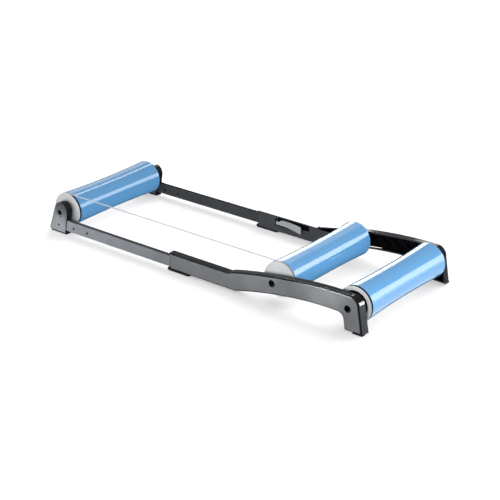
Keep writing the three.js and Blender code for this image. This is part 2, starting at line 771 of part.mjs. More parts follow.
// Assembly

// One side of the fixed rear frame, drawn for the left.
function rearSide(side) {
  const group = new THREE.Group();
  group.add(piece(`rear_rail_${side}`, railSolid(), "rail"));
  group.add(piece(`rear_foot_pad_${side}`, rearPad(), "rubber"));
  group.add(piece(`middle_foot_pad_${side}`, middlePad(), "rubber"));
  group.add(piece(`lever_pivot_pin_${side}`, pivotPinSolid(), "steel"));
  group.add(piece(`lever_spring_${side}`, leverSpringSolid(), "steel"));
  group.add(piece(`lock_lever_${side}`, leverSolid(), "lever"));
  group.add(piece(`lock_pin_${side}`, lockPinSolid(), "steel"));
  return group;
}

// One side of the sliding front carriage, drawn for the left.
function frontSide(side) {
  const group = new THREE.Group();
  const [screw] = WHEELBASE_HOLES;
  group.add(piece(`front_bracket_${side}`, bracketSolid(), "rail"));
  group.add(piece(`front_foot_pad_${side}`, padSolid(8, 84, BRACKET_BOTTOM, 5), "rubber"));
  group.add(piece(`front_tube_${side}`, tubeSolid(), "tube"));
  group.add(piece(`tube_guide_${side}`, guideSolid(), "rubber"));
  const clampScrew = screwSolid(screw, WHEELBASE_HOLE_Z, 3.9, 2.2, 0.3, 2, RAIL_DEPTH - 4);
  group.add(piece(`bracket_screw_${side}`, clampScrew, "blackSteel"));
  return group;
}

// The screw and spacer at one end of an axle, drawn for the left.
function axleEnd(name, side, station) {
  const under = HEAD_RECESS_DEPTH - GAP;
  const group = new THREE.Group();
  const screw = screwSolid(station, AXLE_HEIGHT, 6.4, 2.4, under - 6, under, under + 14);
  group.add(piece(`${name}_axle_screw_${side}`, screw, "blackSteel"));
  const spacer = piece(`${name}_axle_spacer_${side}`, spacerSolid(), "steel");
  spacer.position.set(station, 0, AXLE_HEIGHT);
  group.add(spacer);
  return group;
}

// Puts a left-hand group on the left, or its mirror image on the right.
function onSide(group, side) {
  const mirror = side === "left" ? 1 : -1;
  group.scale.y = mirror;
  group.position.y = (-mirror * WIDTH) / 2;
  return group;
}

const rollers = new THREE.Group();
rollers.name = "rollers";
rollers.position.x = -MIDDLE;

for (const side of ["left", "right"]) {
  rollers.add(onSide(rearSide(side), side));
  rollers.add(onSide(frontSide(side), side));
}

for (const [name, station] of [
  ["front", FRONT_AXLE],
  ["middle", MIDDLE_AXLE],
  ["rear", REAR_AXLE],
]) {
  const turning = drum(name);
  turning.position.set(station, 0, AXLE_HEIGHT);
  rollers.add(turning);
  const axle = piece(`${name}_axle`, axleSolid(), "steel");
  axle.position.set(station, 0, AXLE_HEIGHT);
  rollers.add(axle);
  for (const side of ["left", "right"]) {
    rollers.add(onSide(axleEnd(name, side, station), side));
  }
}

const belt = piece("drive_belt", beltSolid(), "belt");
belt.position.y = -WIDTH / 2;
rollers.add(belt);

const part = new THREE.Group();
part.add(rollers);

export default part;
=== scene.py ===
"""Looks for the retractable bicycle rollers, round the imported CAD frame.

Shapes are drawn in millimetres, as stations from the front end, depths from a rail's outer face, and heights.
"""

import json
import math

import bmesh
import bpy
from mathutils import Matrix, Vector

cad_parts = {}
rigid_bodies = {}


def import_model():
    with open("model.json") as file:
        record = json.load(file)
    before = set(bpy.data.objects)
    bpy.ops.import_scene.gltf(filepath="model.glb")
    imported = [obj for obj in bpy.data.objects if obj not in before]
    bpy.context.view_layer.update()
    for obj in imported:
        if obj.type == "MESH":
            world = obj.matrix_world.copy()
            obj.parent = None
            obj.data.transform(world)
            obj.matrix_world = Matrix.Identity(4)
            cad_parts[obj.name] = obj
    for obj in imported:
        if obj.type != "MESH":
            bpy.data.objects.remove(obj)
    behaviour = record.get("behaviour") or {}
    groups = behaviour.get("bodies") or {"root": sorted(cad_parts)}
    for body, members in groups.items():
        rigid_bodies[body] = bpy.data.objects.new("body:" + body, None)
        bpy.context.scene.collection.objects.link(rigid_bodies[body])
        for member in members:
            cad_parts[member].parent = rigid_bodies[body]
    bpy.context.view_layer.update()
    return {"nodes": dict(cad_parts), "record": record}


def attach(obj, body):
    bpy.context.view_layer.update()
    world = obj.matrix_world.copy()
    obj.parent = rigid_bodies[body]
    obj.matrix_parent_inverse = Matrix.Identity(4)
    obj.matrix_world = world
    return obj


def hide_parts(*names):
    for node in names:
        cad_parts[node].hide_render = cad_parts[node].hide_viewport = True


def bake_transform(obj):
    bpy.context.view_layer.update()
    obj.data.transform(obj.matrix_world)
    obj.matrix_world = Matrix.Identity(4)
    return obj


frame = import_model()

SIDES = {"left": -1, "right": 1}

# Sizes in millimetres, which MM scales to metres. MIDDLE is the station of the frame's origin, and OVER
# is how far a cutting solid stands out.
MM = Matrix.Scale(0.001, 4)
MIDDLE = 676.5
WIDTH = 496.0
AXLE_HEIGHT = 77.5
AXLES = {"front": 57.0, "middle": 1006.0, "rear": 1296.0}
OVER = 5.0

# Drum shells
DRUM_HALF = 210.2
DRUM_END = 60.0
DRUM_WAIST = 55.6
FLARE_POWER = 2.2
SHELL_LEFT = -DRUM_HALF + 11.3
SHELL_RIGHT = DRUM_HALF - 4.6
SHELL_EDGE = 0.9
SHELL_CHAMFER = 0.25
SHELL_WALL = 5.5
SHELL_BORE = 53.9
SHELL_BORE_DEPTH = 18.0
SHELL_TAPER_END = 42.0

# Caps, bearings, axles and screws
CAP_HUB = 13.3
CAP_FACE = 1.5
CAP_WEB = 5.0
CAP_WEB_EDGE = 47.0
CAP_SEAT = 10.8
CAP_SPIGOT = 53.6
CAP_SPIGOT_WALL = 4.0
CAP_SPIGOT_LENGTH = 14.0
PLUG_RADIUS = 57.0
PLUG_RIM = 4.0
GROOVE_RADIUS = 56.2
GROOVE_FRONT = 4.5
GROOVE_WIDTH = 6.5
BEARING_RADIUS = 13.0
BEARING_BORE = 5.6
BEARING_WIDTH = 7.7
BEARING_INSET = 2.8
AXLE_RADIUS = 5.0
AXLE_HOLE_RADIUS = 5.5
AXLE_SHOULDER_RADIUS = 6.6
AXLE_SHOULDER = DRUM_HALF - BEARING_INSET - BEARING_WIDTH - 0.3
AXLE_END = WIDTH / 2 - 9
AXLE_CHAMFER = 0.6
AXLE_BORE_RADIUS = 2.8
AXLE_BORE_DEPTH = 16.0
SPACER_BORE = 5.4
SPACER_RADIUS = 7.8
SPACER_CHAMFER = 0.4
AXLE_SCREW = {"head": 6.4, "shank": 2.4, "top": 3.2, "under": 7.7, "tip": 21.7}

# Belt
BELT_RADIUS = 2.0
BELT_WHEEL = GROOVE_RADIUS + 0.5 + BELT_RADIUS
BELT_DEPTH = WIDTH / 2 - DRUM_HALF + GROOVE_FRONT + GROOVE_WIDTH / 2

# Rails
RAIL_DEPTH = 27.0
RAIL_WALL = 4.0
RAIL_OUTER_EDGE = 6.3
RAIL_INNER_EDGE = 1.6
MOUTH = 573.0
MOUTH_CUT_LENGTH = 5.0
MOUTH_CUT_HEIGHT = 11.0
SLEEVE_TOP = 64.6
SLEEVE_BOTTOM = 6.3
SLEEVE_CEILING = 61.0
SLEEVE_WALL_END = 950.0
BEND = 838.0
BEND_RUN = 14.0
ARCH_TOP = 123.2
CORNER = (1303.0, 90.2)
CORNER_RADIUS = 33.0
PLAIN_REAR_TOP = 95.3
REAR_FLARE = 5.0
REAR_SLANT = 4.0
TOP_CURVE = [(BEND, 69.5), (844, 73), (1071, ARCH_TOP), (1262, ARCH_TOP)]
UNDERSIDE_CURVE = [(1256, 57.4), (1220, 57.4), (1078, 64.9), (853, SLEEVE_BOTTOM)]
FLANGE = 4.5
RIB_PITCH = 48.0
RIB_THICKNESS = 2.0
RIB_DEPTH = 11.0
RIB_START = 800.0
FOOT_LEAN_DEGREES = 9
FOOT_LEAN = math.radians(FOOT_LEAN_DEGREES)
FOOT_BOTTOM = 4.3
FOOT_FRONT = 1284.5
FOOT_ROUND_LOW = 36.0
FOOT_ROUND_HIGH = 56.0
BOSS_RADIUS = 15.0
BOSS_RECESS = {"radius": 11.3, "depth": 8.0, "edge": 0.8}

# Brackets
HEAD = (63.5, 86.0)
HEAD_RADIUS = 30.5
HEAD_FRONT_LEAN = 20.9
HEAD_REAR_LEAN = 11.0
BRACKET_BOTTOM = 5.0
BRACKET_TOE = 5.0
BRACKET_EDGE = 1.3
BRACKET_BOSS_RADIUS = 13.0
BRACKET_RECESS = {"radius": 9.0, "depth": 8.0, "edge": 0.6}
RING_INNER = 13.4
RING_OUTER = 15.4
RING_DEPTH = 0.7

# Tubes, with their channel in the rail and their socket in the bracket
TUBE = {
    "depth": 4.0,
    "width": 14.3,
    "bottom": 11.6,
    "height": 43.6,
    "front": 24.0,
    "rear": 720.0,
    "radius": 4.6,
}
TUBE_MIDDLE = TUBE["bottom"] + TUBE["height"] / 2
TUBE_WALL = 1.5
TUBE_GAP = 0.3
CHANNEL_RADIUS = 4.2
CHANNEL_END = 1200.0
SOCKET_END = 120.0
HOLES = (49.0, 119.0, 185.0)
HOLE_HEIGHT = 30.0
HOLE_RADIUS = 4.4
CLAMP_RECESS = {"radius": 4.3, "depth": 2.3, "edge": 0.4}
CLAMP_HOLE_RADIUS = 2.6
CLAMP_SCREW = {"head": 3.9, "shank": 2.2, "top": 0.3, "under": 2.0, "tip": RAIL_DEPTH - 4}

# Levers, with their recesses in the rail: two stations, two heights and the corners' radius
LEVER_PIVOT = 657.0
LEVER_PIVOT_DEPTH = 23.8
LEVER_PIN_RADIUS = 2.1
LEVER_BACK = RAIL_DEPTH - 3.2
LEVER_END = 774.0
LEVER_LOW = 29.0
LEVER_HIGH = 54.0
KNUCKLE_LOW = 33.0
KNUCKLE_HIGH = 44.0
KNUCKLE_RADIUS = 3.6
LOCK_PIN = 690.0
LOCK_PIN_RADIUS = 3.2
RECESS_FLOOR = 19.8
BLADE_RECESS = (651.5, 749.0, 27.5, 55.5, 3.0)
FINGER_RECESS = (662.0, 800.0, 41.0, 61.0, 4.0)
# Where the lever's recess is painted dark as shade: stations, heights, and the least depth from the outer
# face.
PAINTED_SHADE_STATIONS = (640.0, 810.0)
PAINTED_SHADE_HEIGHTS = (27.0, 62.0)
PAINTED_SHADE_DEPTH = 19.0

# Pads
PAD_DEPTH = 26.0
REAR_PAD_DEPTH = 19.0
REAR_PAD_LENGTH = 37.0
SOLE_GROOVE_HALF = 1.2
SOLE_GROOVE_DEPTH = 0.9


# Meshes and booleans


def solid(verts, faces):
    """A closed mesh object with its faces turned outwards."""
    mesh = bpy.data.meshes.new("solid")
    mesh.from_pydata([tuple(v) for v in verts], [], faces)
    bm = bmesh.new()
    bm.from_mesh(mesh)
    bmesh.ops.remove_doubles(bm, verts=bm.verts, dist=1e-4)
    bmesh.ops.recalc_face_normals(bm, faces=bm.faces)
    bm.to_mesh(mesh)
    bm.free()
    obj = bpy.data.objects.new("solid", mesh)
    bpy.context.scene.collection.objects.link(obj)
    return obj


def skin(rings, loop=False):
    """A solid through rings of equal length. With loop, the last ring joins the first."""
    count = len(rings[0])
    verts = [p for ring in rings for p in ring]
    faces = []
    for i in range(len(rings) if loop else len(rings) - 1):
        a = i * count
        b = ((i + 1) % len(rings)) * count
        for j in range(count):
            k = (j + 1) % count
            faces.append((a + j, a + k, b + k, b + j))
    if not loop:
        faces.append(tuple(reversed(range(count))))
        faces.append(tuple(range(len(verts) - count, len(verts))))
    return solid(verts, faces)


def boolean(obj, other, operation="DIFFERENCE"):
    modifier = obj.modifiers.new("boolean", "BOOLEAN")
    modifier.operation = operation
    modifier.solver = "MANIFOLD"
    modifier.object = other
    graph = bpy.context.evaluated_depsgraph_get()
    mesh = bpy.data.meshes.new_from_object(obj.evaluated_get(graph))
    obj.modifiers.clear()
    obj.data = mesh
    bpy.data.objects.remove(other)
    return obj


def union(obj, other):
    return boolean(obj, other, "UNION")


def arc(cx, cy, radius, start, end, steps):
    """Points on an arc, by degrees."""
    points = []
    for i in range(steps + 1):
        a = math.radians(start + (end - start) * i / steps)
        points.append((cx + radius * math.cos(a), cy + radius * math.sin(a)))
    return points


def bezier(points, steps):
    """Points on a quadratic or cubic curve, without its first point."""
    out = []
    for i in range(1, steps + 1):
        t = i / steps
        level = [Vector(p) for p in points]
        while len(level) > 1:
            level = [a.lerp(b, t) for a, b in zip(level, level[1:])]
        out.append(tuple(level[0]))
    return out


def tidy(points):
    """The outline without doubled points, counter-clockwise."""
    kept = [p for i, p in enumerate(points) if math.dist(p, points[i - 1]) > 0.01]
    area = sum(a[0] * b[1] - b[0] * a[1] for a, b in zip(kept, kept[1:] + kept[:1]))
    return kept if area > 0 else kept[::-1]


def inset(points, distance):
    """A counter-clockwise outline drawn in by a distance."""
    out = []
    for i, q in enumerate(points):
        p, q, r = Vector(points[i - 1]), Vector(q), Vector(points[(i + 1) % len(points)])
        e, f = (q - p).normalized(), (r - q).normalized()
        m = Vector((-e.y, e.x)) + Vector((-f.y, f.x))
        out.append(tuple(q + m * (2 * distance / max(m.length_squared, 0.5))))
    return out


def slab(points, low, high):
    """A side-view outline of stations and heights, between two depths."""
    return skin([[(x, d, z) for x, z in points] for d in (low, high)])


def rounded_slab(points, depth, outer, inner, steps=5):
    """The same from depth 0, with its outer and inner edges rounded."""
    rings = []
    for i in range(steps + 1):
        a = math.radians(90 * i / steps)
        rings.append((outer * (1 - math.cos(a)), outer * (1 - math.sin(a))))
    for i in range(steps + 1):
        a = math.radians(90 * i / steps)
        rings.append((depth - inner + inner * math.sin(a), inner * (1 - math.cos(a))))
    return skin([[(x, d, z) for x, z in inset(points, draw)] for d, draw in rings])


def bar(points, start, end):
    """A cross-section of depths and heights, along the stations."""
    return skin([[(x, d, z) for d, z in points] for x in (start, end)])


def plate(points, low, high):
    """A plan-view outline of stations and depths, between two heights."""
    return skin([[(x, d, z) for x, d in points] for z in (low, high)])


def circle(cx, cy, radius, sides):
    return arc(cx, cy, radius, 0, 360 - 360 / sides, sides - 1)


def cross_rod(station, height, radius, low, high, sides=40):
    return slab(circle(station, height, radius, sides), low, high)


def upright_rod(station, depth, radius, low, high):
    return plate(circle(station, depth, radius, 32), low, high)


def countersink(station, height, radius, depth, edge):
    """A recess with a softened rim, from the outer face."""
    rings = [(-3, radius + edge), (0, radius + edge)]
    for i in range(1, 5):
        a = math.radians(90 * i / 4)
        rings.append((edge * math.sin(a), radius + edge * (1 - math.sin(a)) * 0.9))
    rings.append((depth, radius))
    return skin([[(x, d, z) for x, z in circle(station, height, r, 48)] for d, r in rings])


def box_outline(x0, x1, y0, y1, radius):
    """A rectangle with rounded corners."""
    steps = 5
    points = arc(x1 - radius, y0 + radius, radius, -90, 0, steps)
    points += arc(x1 - radius, y1 - radius, radius, 0, 90, steps)
    points += arc(x0 + radius, y1 - radius, radius, 90, 180, steps)
    points += arc(x0 + radius, y0 + radius, radius, 180, 270, steps)
    return tidy(points)


def turned(profile, sides):
    """A solid turned about the Y axis, from radius and position pairs round its section."""
    rings = []
    for i in range(sides):
        a = 2 * math.pi * i / sides
        rings.append([(r * math.cos(a), y, r * math.sin(a)) for r, y in profile])
    return skin(rings, loop=True)


def clean(obj, dissolve=0.2):
    """Joins the flat faces that the booleans left in triangles."""
    bm = bmesh.new()
    bm.from_mesh(obj.data)
    bmesh.ops.remove_doubles(bm, verts=bm.verts, dist=1e-3)
    bmesh.ops.dissolve_limit(
        bm,
        angle_limit=math.radians(dissolve),
        verts=bm.verts,
        edges=bm.edges,
        delimit={"MATERIAL"},
    )
    bm.to_mesh(obj.data)
    bm.free()
    return obj


def shade(obj):
    obj.data.shade_smooth()
    obj.data.set_sharp_from_angle(angle=math.radians(32))
    weights = obj.modifiers.new("normals", "WEIGHTED_NORMAL")
    weights.keep_sharp = True
    weights.weight = 80


def copy_of(obj):
    twin = obj.copy()
    twin.data = obj.data.copy()
    bpy.context.scene.collection.objects.link(twin)
    return twin


def moved(obj, x, y, z):
    obj.data.transform(Matrix.Translation((x, y, z)))
    return obj


def finish_piece(obj, name, body, looks, nodes, matrix):
    """Puts a finished solid into the row frame, in metres, and hands it to its body in place of CAD nodes."""
    obj.name = name
    obj.data.name = name
    obj.data.transform(matrix)
    if matrix.determinant() < 0:
        obj.data.flip_normals()
    chosen = [face.material_index for face in obj.data.polygons]
    obj.data.materials.clear()
    for material in looks if isinstance(looks, list) else [looks]:
        obj.data.materials.append(material)
    for face, index in zip(obj.data.polygons, chosen):
        face.material_index = index
    shade(obj)
    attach(obj, body)
    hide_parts(*nodes)


def side_matrix(side):
    """From stations, depths and heights on one side to the row frame."""
    sign = SIDES[side]
    return MM @ Matrix.Translation((-MIDDLE, sign * WIDTH / 2, 0)) @ Matrix.Diagonal((1, -sign, 1, 1))


def axle_matrix(name, side=None):
    """From a drum's own axes to the row frame. With a side, Y runs inwards from that end of the drum."""
    centre = Matrix.Translation((AXLES[name] - MIDDLE, 0, AXLE_HEIGHT))
    if side is None:
        return MM @ centre
    sign = SIDES[side]
    end = Matrix.Translation((0, sign * DRUM_HALF, 0))
    return MM @ centre @ end @ Matrix.Diagonal((1, -sign, 1, 1))


# Materials

# The part of a noise texture's range that is used
NOISE_LOW = 0.3
NOISE_HIGH = 0.7


def new_material(name, colour, roughness, **sockets):
    material = bpy.data.materials.new(name)
    material.use_nodes = True
    shader = material.node_tree.nodes["Principled BSDF"]
    shader.inputs["Base Color"].default_value = (*colour, 1)
    shader.inputs["Roughness"].default_value = roughness
    for socket, value in sockets.items():
        shader.inputs[socket.replace("_", " ")].default_value = value
    material.diffuse_color = (*colour, 1)
    return material, shader


def coordinates(material, scale=(1, 1, 1)):
    nodes, links = material.node_tree.nodes, material.node_tree.links
    where = nodes.new("ShaderNodeTexCoord")
    mapping = nodes.new("ShaderNodeMapping")
    mapping.inputs["Scale"].default_value = scale
    links.new(where.outputs["Object"], mapping.inputs["Vector"])
    return mapping.outputs["Vector"]


def grain(material, vector, scale, detail):
    nodes, links = material.node_tree.nodes, material.node_tree.links
    texture = nodes.new("ShaderNodeTexNoise")
    texture.inputs["Scale"].default_value = scale
    texture.inputs["Detail"].default_value = detail
    links.new(vector, texture.inputs["Vector"])
    return texture.outputs["Fac"]


def gloss(material, shader, value, low, high):
    """Sets the roughness by a texture's value, within a range."""
    nodes, links = material.node_tree.nodes, material.node_tree.links
    node = nodes.new("ShaderNodeMapRange")
    node.inputs["From Min"].default_value = NOISE_LOW
    node.inputs["From Max"].default_value = NOISE_HIGH
    node.inputs["To Min"].default_value = low
    node.inputs["To Max"].default_value = high
    links.new(value, node.inputs["Value"])
    links.new(node.outputs["Result"], shader.inputs["Roughness"])


def tint(material, shader, value, dark, light):
    """Sets the colour by a texture's value, between two."""
    nodes, links = material.node_tree.nodes, material.node_tree.links
    node = nodes.new("ShaderNodeValToRGB")
    node.color_ramp.elements[0].position = NOISE_LOW
    node.color_ramp.elements[0].color = (*dark, 1)
    node.color_ramp.elements[1].position = NOISE_HIGH
    node.color_ramp.elements[1].color = (*light, 1)
    links.new(value, node.inputs["Fac"])
    links.new(node.outputs["Color"], shader.inputs["Base Color"])


def bump(material, shader, value, strength, distance):
    nodes, links = material.node_tree.nodes, material.node_tree.links
    node = nodes.new("ShaderNodeBump")
    node.inputs["Strength"].default_value = strength
    node.inputs["Distance"].default_value = distance
    links.new(value, node.inputs["Height"])
    links.new(node.outputs["Normal"], shader.inputs["Normal"])


def moulded(name, dark, light, roughness, bump_strength, grain_size=2600, **sockets):
    """Moulded plastic: slight mottling of colour and gloss, and a fine spark-eroded grain."""
    material, shader = new_material(name, light, roughness, **sockets)
    vector = coordinates(material)
    mottle = grain(material, vector, 18, 4)
    tint(material, shader, mottle, dark, light)
    gloss(material, shader, mottle, roughness - 0.04, roughness + 0.05)
    bump(material, shader, grain(material, vector, grain_size, 2), bump_strength, 0.00006)
    return material


def drum_material():
    """Glossy blue tube, with faint marks round it where tyres have run."""
    blue = (0.15, 0.435, 0.80)
    material, shader = new_material("drum_blue", blue, 0.1, Coat_Weight=0.35, Coat_Roughness=0.05)
    rings = grain(material, coordinates(material, (1, 60, 1)), 5, 5)
    tint(material, shader, rings, (0.14, 0.42, 0.785), (0.16, 0.45, 0.82))
    gloss(material, shader, rings, 0.08, 0.13)
    bump(material, shader, grain(material, coordinates(material), 1800, 2), 0.02, 0.00004)
    return material


def metal(name, colour, roughness, turned_marks=False):
    material, shader = new_material(name, colour, roughness, Metallic=1.0)
    scale = (1, 900, 1) if turned_marks else (1, 1, 1)
    marks = grain(material, coordinates(material, scale), 6 if turned_marks else 320, 3)
    gloss(material, shader, marks, roughness - 0.08, roughness + 0.1)
    bump(material, shader, marks, 0.12, 0.0001)
    return material


def rubber_material():
    material, shader = new_material("rubber_black", (0.012, 0.012, 0.013), 0.75)
    vector = coordinates(material)
    dust = grain(material, vector, 45, 5)
    tint(material, shader, dust, (0.010, 0.010, 0.011), (0.022, 0.022, 0.023))
    gloss(material, shader, dust, 0.65, 0.85)
    bump(material, shader, grain(material, vector, 900, 3), 0.35, 0.0002)
    return material


def belt_material():
    material, shader = new_material("belt_cord", (0.57, 0.60, 0.62), 0.4)
    haze = grain(material, coordinates(material), 160, 3)
    tint(material, shader, haze, (0.54, 0.57, 0.59), (0.60, 0.63, 0.65))
    bump(material, shader, haze, 0.08, 0.0003)
    return material


DRUM = drum_material()
GREY = [(0.060, 0.064, 0.070), (0.072, 0.076, 0.082)]
# Near-black polish: the right caps' own black, and painted shade on the rails' tops and edges, the brackets'
# sides and the rear drum's cap webs.
POLISHED_BLACK_AND_PAINTED_SHADE = [(0.010, 0.011, 0.012), (0.014, 0.015, 0.016)]
# UNLIT is painted shade for the hollows: inside the rails and tubes and in the lever recesses.
UNLIT = [(0.004, 0.004, 0.0045), (0.008, 0.008, 0.009)]
PAINT = [(0.070, 0.075, 0.082), (0.084, 0.089, 0.096)]
# A darker copy of the tube's paint, painted on its top and ends as shade.
TOP_PAINT_PAINTED_SHADE = [(0.012, 0.013, 0.014), (0.017, 0.018, 0.019)]
RAIL = moulded("rail_satin", *GREY, 0.42, 0.25)
GLOSS_BLACK_AND_PAINTED_SHADE = moulded("rail_polished", *POLISHED_BLACK_AND_PAINTED_SHADE, 0.1, 0.02, Specular_IOR_Level=0.1)
RAIL_END = moulded("rail_end", *GREY, 0.45, 0.25, Specular_IOR_Level=0.05)
INSIDE_PAINTED_SHADE = moulded("rail_inside", *UNLIT, 0.55, 0.1, Specular_IOR_Level=0.1)
TUBE_PAINT = moulded("tube_paint", *PAINT, 0.4, 0.18, 1500, Metallic=0.25)
TUBE_TOP_PAINTED_SHADE = moulded("tube_paint_top_painted_shade", *TOP_PAINT_PAINTED_SHADE, 0.25, 0.1, 1500, Specular_IOR_Level=0.1)
CAP = moulded("cap_white", (0.70, 0.71, 0.72), (0.78, 0.79, 0.80), 0.38, 0.08)
# Black for the belt groove and the drums' end faces.
GROOVE_AND_END_BLACK = moulded("groove_black", (0.006, 0.006, 0.007), (0.010, 0.010, 0.011), 0.5, 0.1)
LEVER = moulded("lever_grey", (0.40, 0.41, 0.42), (0.46, 0.47, 0.48), 0.42, 0.15)
RUBBER = rubber_material()
STEEL = metal("steel_zinc", (0.56, 0.57, 0.58), 0.3, True)
BLACK_STEEL = metal("steel_black", (0.035, 0.036, 0.038), 0.38)
BELT = belt_material()

CAD_LOOKS = {
    "rubber": RUBBER,
    "steel": STEEL,
    "black_steel": BLACK_STEEL,
    "rail": RAIL,
    "tube": TUBE_PAINT,
    "cap": CAP,
    "drum": DRUM,
    "lever": LEVER,
    "belt": BELT,
}
for entry in frame["record"]["subparts"]:
    mesh = frame["nodes"][entry["node"]].data
    mesh.materials.clear()
    mesh.materials.append(CAD_LOOKS[entry["material_slot"]])


def face_materials(obj, choose):
    """Gives each face the slot that choose(centre, normal) returns, while the solid is in millimetres."""
    for face in obj.data.polygons:
        face.material_index = choose(face.center, face.normal)


# Rails


def rear_face(height, draw=0.0):
    """The station of the foot's leaning rear face at a height."""
    radius = CORNER_RADIUS - draw
    tangent = (CORNER[0] + radius * math.cos(FOOT_LEAN), CORNER[1] + radius * math.sin(FOOT_LEAN))
    return tangent[0] + (tangent[1] - height) * math.tan(FOOT_LEAN)


def foot_face(height):
    """The station of the foot's front face at a height."""
    return FOOT_FRONT - (height - FOOT_BOTTOM) * math.tan(FOOT_LEAN)


def curve(points, raised):
    lifted = [(x, z + raised) for x, z in points]
    return [lifted[0]] + bezier(lifted, 40)


def top_and_rear(draw, bottom):
    """From the bend over the arch and the corner to the foot's bottom, drawn in by a distance."""
    points = curve(TOP_CURVE, -draw)
    points += arc(*CORNER, CORNER_RADIUS - draw, 90, FOOT_LEAN_DEGREES, 20)
    points.append((rear_face(bottom, draw), bottom))
    return points


def underside(raised, across):
    """From the foot's bottom up its front and along the arch to the bend."""
    arch_end, arch_height = UNDERSIDE_CURVE[0]
    start = (foot_face(FOOT_ROUND_LOW) + across, FOOT_ROUND_LOW)
    corner = (foot_face(FOOT_ROUND_HIGH) + across, FOOT_ROUND_HIGH + raised)
    points = [start] + bezier([start, corner, (arch_end, arch_height + raised)], 12)
    return points + curve(UNDERSIDE_CURVE, raised)[1:]


def rail_outline():
    bend_start = (BEND - BEND_RUN, SLEEVE_TOP)
    points = [(MOUTH, SLEEVE_BOTTOM + MOUTH_CUT_HEIGHT), (MOUTH, SLEEVE_TOP), bend_start]
    points += bezier([bend_start, (BEND - BEND_RUN / 2, SLEEVE_TOP), TOP_CURVE[0]], 8)
    points += top_and_rear(0.0, FOOT_BOTTOM)
    points.append((FOOT_FRONT, FOOT_BOTTOM))
    points += underside(0.0, 0.0)
    points.append((MOUTH + MOUTH_CUT_LENGTH, SLEEVE_BOTTOM))
    return tidy(points)


OUTLINE = rail_outline()


def pocket_solid():
    """The open room behind the outer wall, between the flanges, without the sleeve at its front."""
    end, ceiling = SLEEVE_WALL_END, SLEEVE_CEILING
    points = [(end, ceiling), (BEND + 4, ceiling)]
    points += top_and_rear(FLANGE, FOOT_BOTTOM + FLANGE)
    points.append((FOOT_FRONT + FLANGE, FOOT_BOTTOM + FLANGE))
    points += underside(FLANGE, FLANGE)
    room = slab(tidy(points), RAIL_WALL, RAIL_DEPTH + OVER)
    sleeve = slab([(0, -20), (end, -20), (end, ceiling), (0, ceiling)], 0, RAIL_DEPTH + OVER + 1)
    return boolean(room, sleeve)


def ribs(lean):
    """Parallel ribs that lean one way by 45 degrees, against the outer wall."""
    verts, faces = [], []
    half = RIB_THICKNESS / math.sqrt(2)
    foot = RIB_START
    while foot < CORNER[0] + 60:
        top = foot + lean * ARCH_TOP
        base = len(verts)
        for d in (RAIL_WALL - 1, RAIL_WALL + RIB_DEPTH):
            verts += [(foot - half, d, 0), (foot + half, d, 0)]
            verts += [(top + half, d, ARCH_TOP), (top - half, d, ARCH_TOP)]
        quads = [(0, 1, 2, 3), (7, 6, 5, 4), (0, 4, 5, 1), (1, 5, 6, 2), (2, 6, 7, 3), (3, 7, 4, 0)]
        faces += [tuple(base + i for i in q) for q in quads]
        foot += RIB_PITCH
    return solid(verts, faces)


def channel_section():
    """The room for the tube, in the rail and in the bracket."""
    near, far = TUBE["depth"] - TUBE_GAP, TUBE["depth"] + TUBE["width"] + TUBE_GAP
    low, high = TUBE["bottom"] - TUBE_GAP, TUBE["bottom"] + TUBE["height"] + TUBE_GAP
    return box_outline(near, far, low, high, CHANNEL_RADIUS)


def rail_solid():
    body = rounded_slab(OUTLINE, RAIL_DEPTH, RAIL_OUTER_EDGE, RAIL_INNER_EDGE, 7)
    rail = boolean(copy_of(body), pocket_solid())
    for lean in (1, -1):
        inside = boolean(ribs(lean), copy_of(body), "INTERSECT")
        rail = union(rail, inside)
    bpy.data.objects.remove(body)
    for name in ("middle", "rear"):
        station = AXLES[name]
        rail = union(rail, cross_rod(station, AXLE_HEIGHT, BOSS_RADIUS, RAIL_WALL - 1, RAIL_DEPTH))
        rail = boolean(rail, countersink(station, AXLE_HEIGHT, **BOSS_RECESS))
        rail = boolean(rail, cross_rod(station, AXLE_HEIGHT, AXLE_HOLE_RADIUS, -OVER, RAIL_DEPTH + OVER))
    rail = boolean(rail, bar(channel_section(), MOUTH - 2 * OVER, CHANNEL_END))
    for recess in (BLADE_RECESS, FINGER_RECESS):
        rail = boolean(rail, slab(box_outline(*recess), RECESS_FLOOR, RAIL_DEPTH + OVER))
    rail = boolean(rail, cross_rod(LOCK_PIN, TUBE_MIDDLE, LOCK_PIN_RADIUS + 1, 15, RAIL_DEPTH))
    rail = boolean(rail, upright_rod(LEVER_PIVOT, LEVER_PIVOT_DEPTH, LEVER_PIN_RADIUS, 20, 62))
    face_materials(rail, rail_look)
    return clean(flare(rail))


def flare(obj):
    """The rear end stands out inwards and backwards, more and more towards its inner edge."""
    for vertex in obj.data.vertices:
        along = max(0.0, min(1.0, (vertex.co.x - CORNER[0]) / CORNER_RADIUS))
        share = along * max(vertex.co.y, 0) / RAIL_DEPTH
        vertex.co.x += REAR_SLANT * share
        vertex.co.y += REAR_FLARE * share
    return obj


def from_outline(x, z):
    """The least distance from a side-view point to the rail's outline."""
    best = math.inf
    for (ax, az), (bx, bz) in zip(OUTLINE, OUTLINE[1:] + OUTLINE[:1]):
        dx, dz = bx - ax, bz - az
        t = max(0.0, min(1.0, ((x - ax) * dx + (z - az) * dz) / (dx * dx + dz * dz)))
        best = min(best, math.hypot(ax + t * dx - x, az + t * dz - z))
    return best


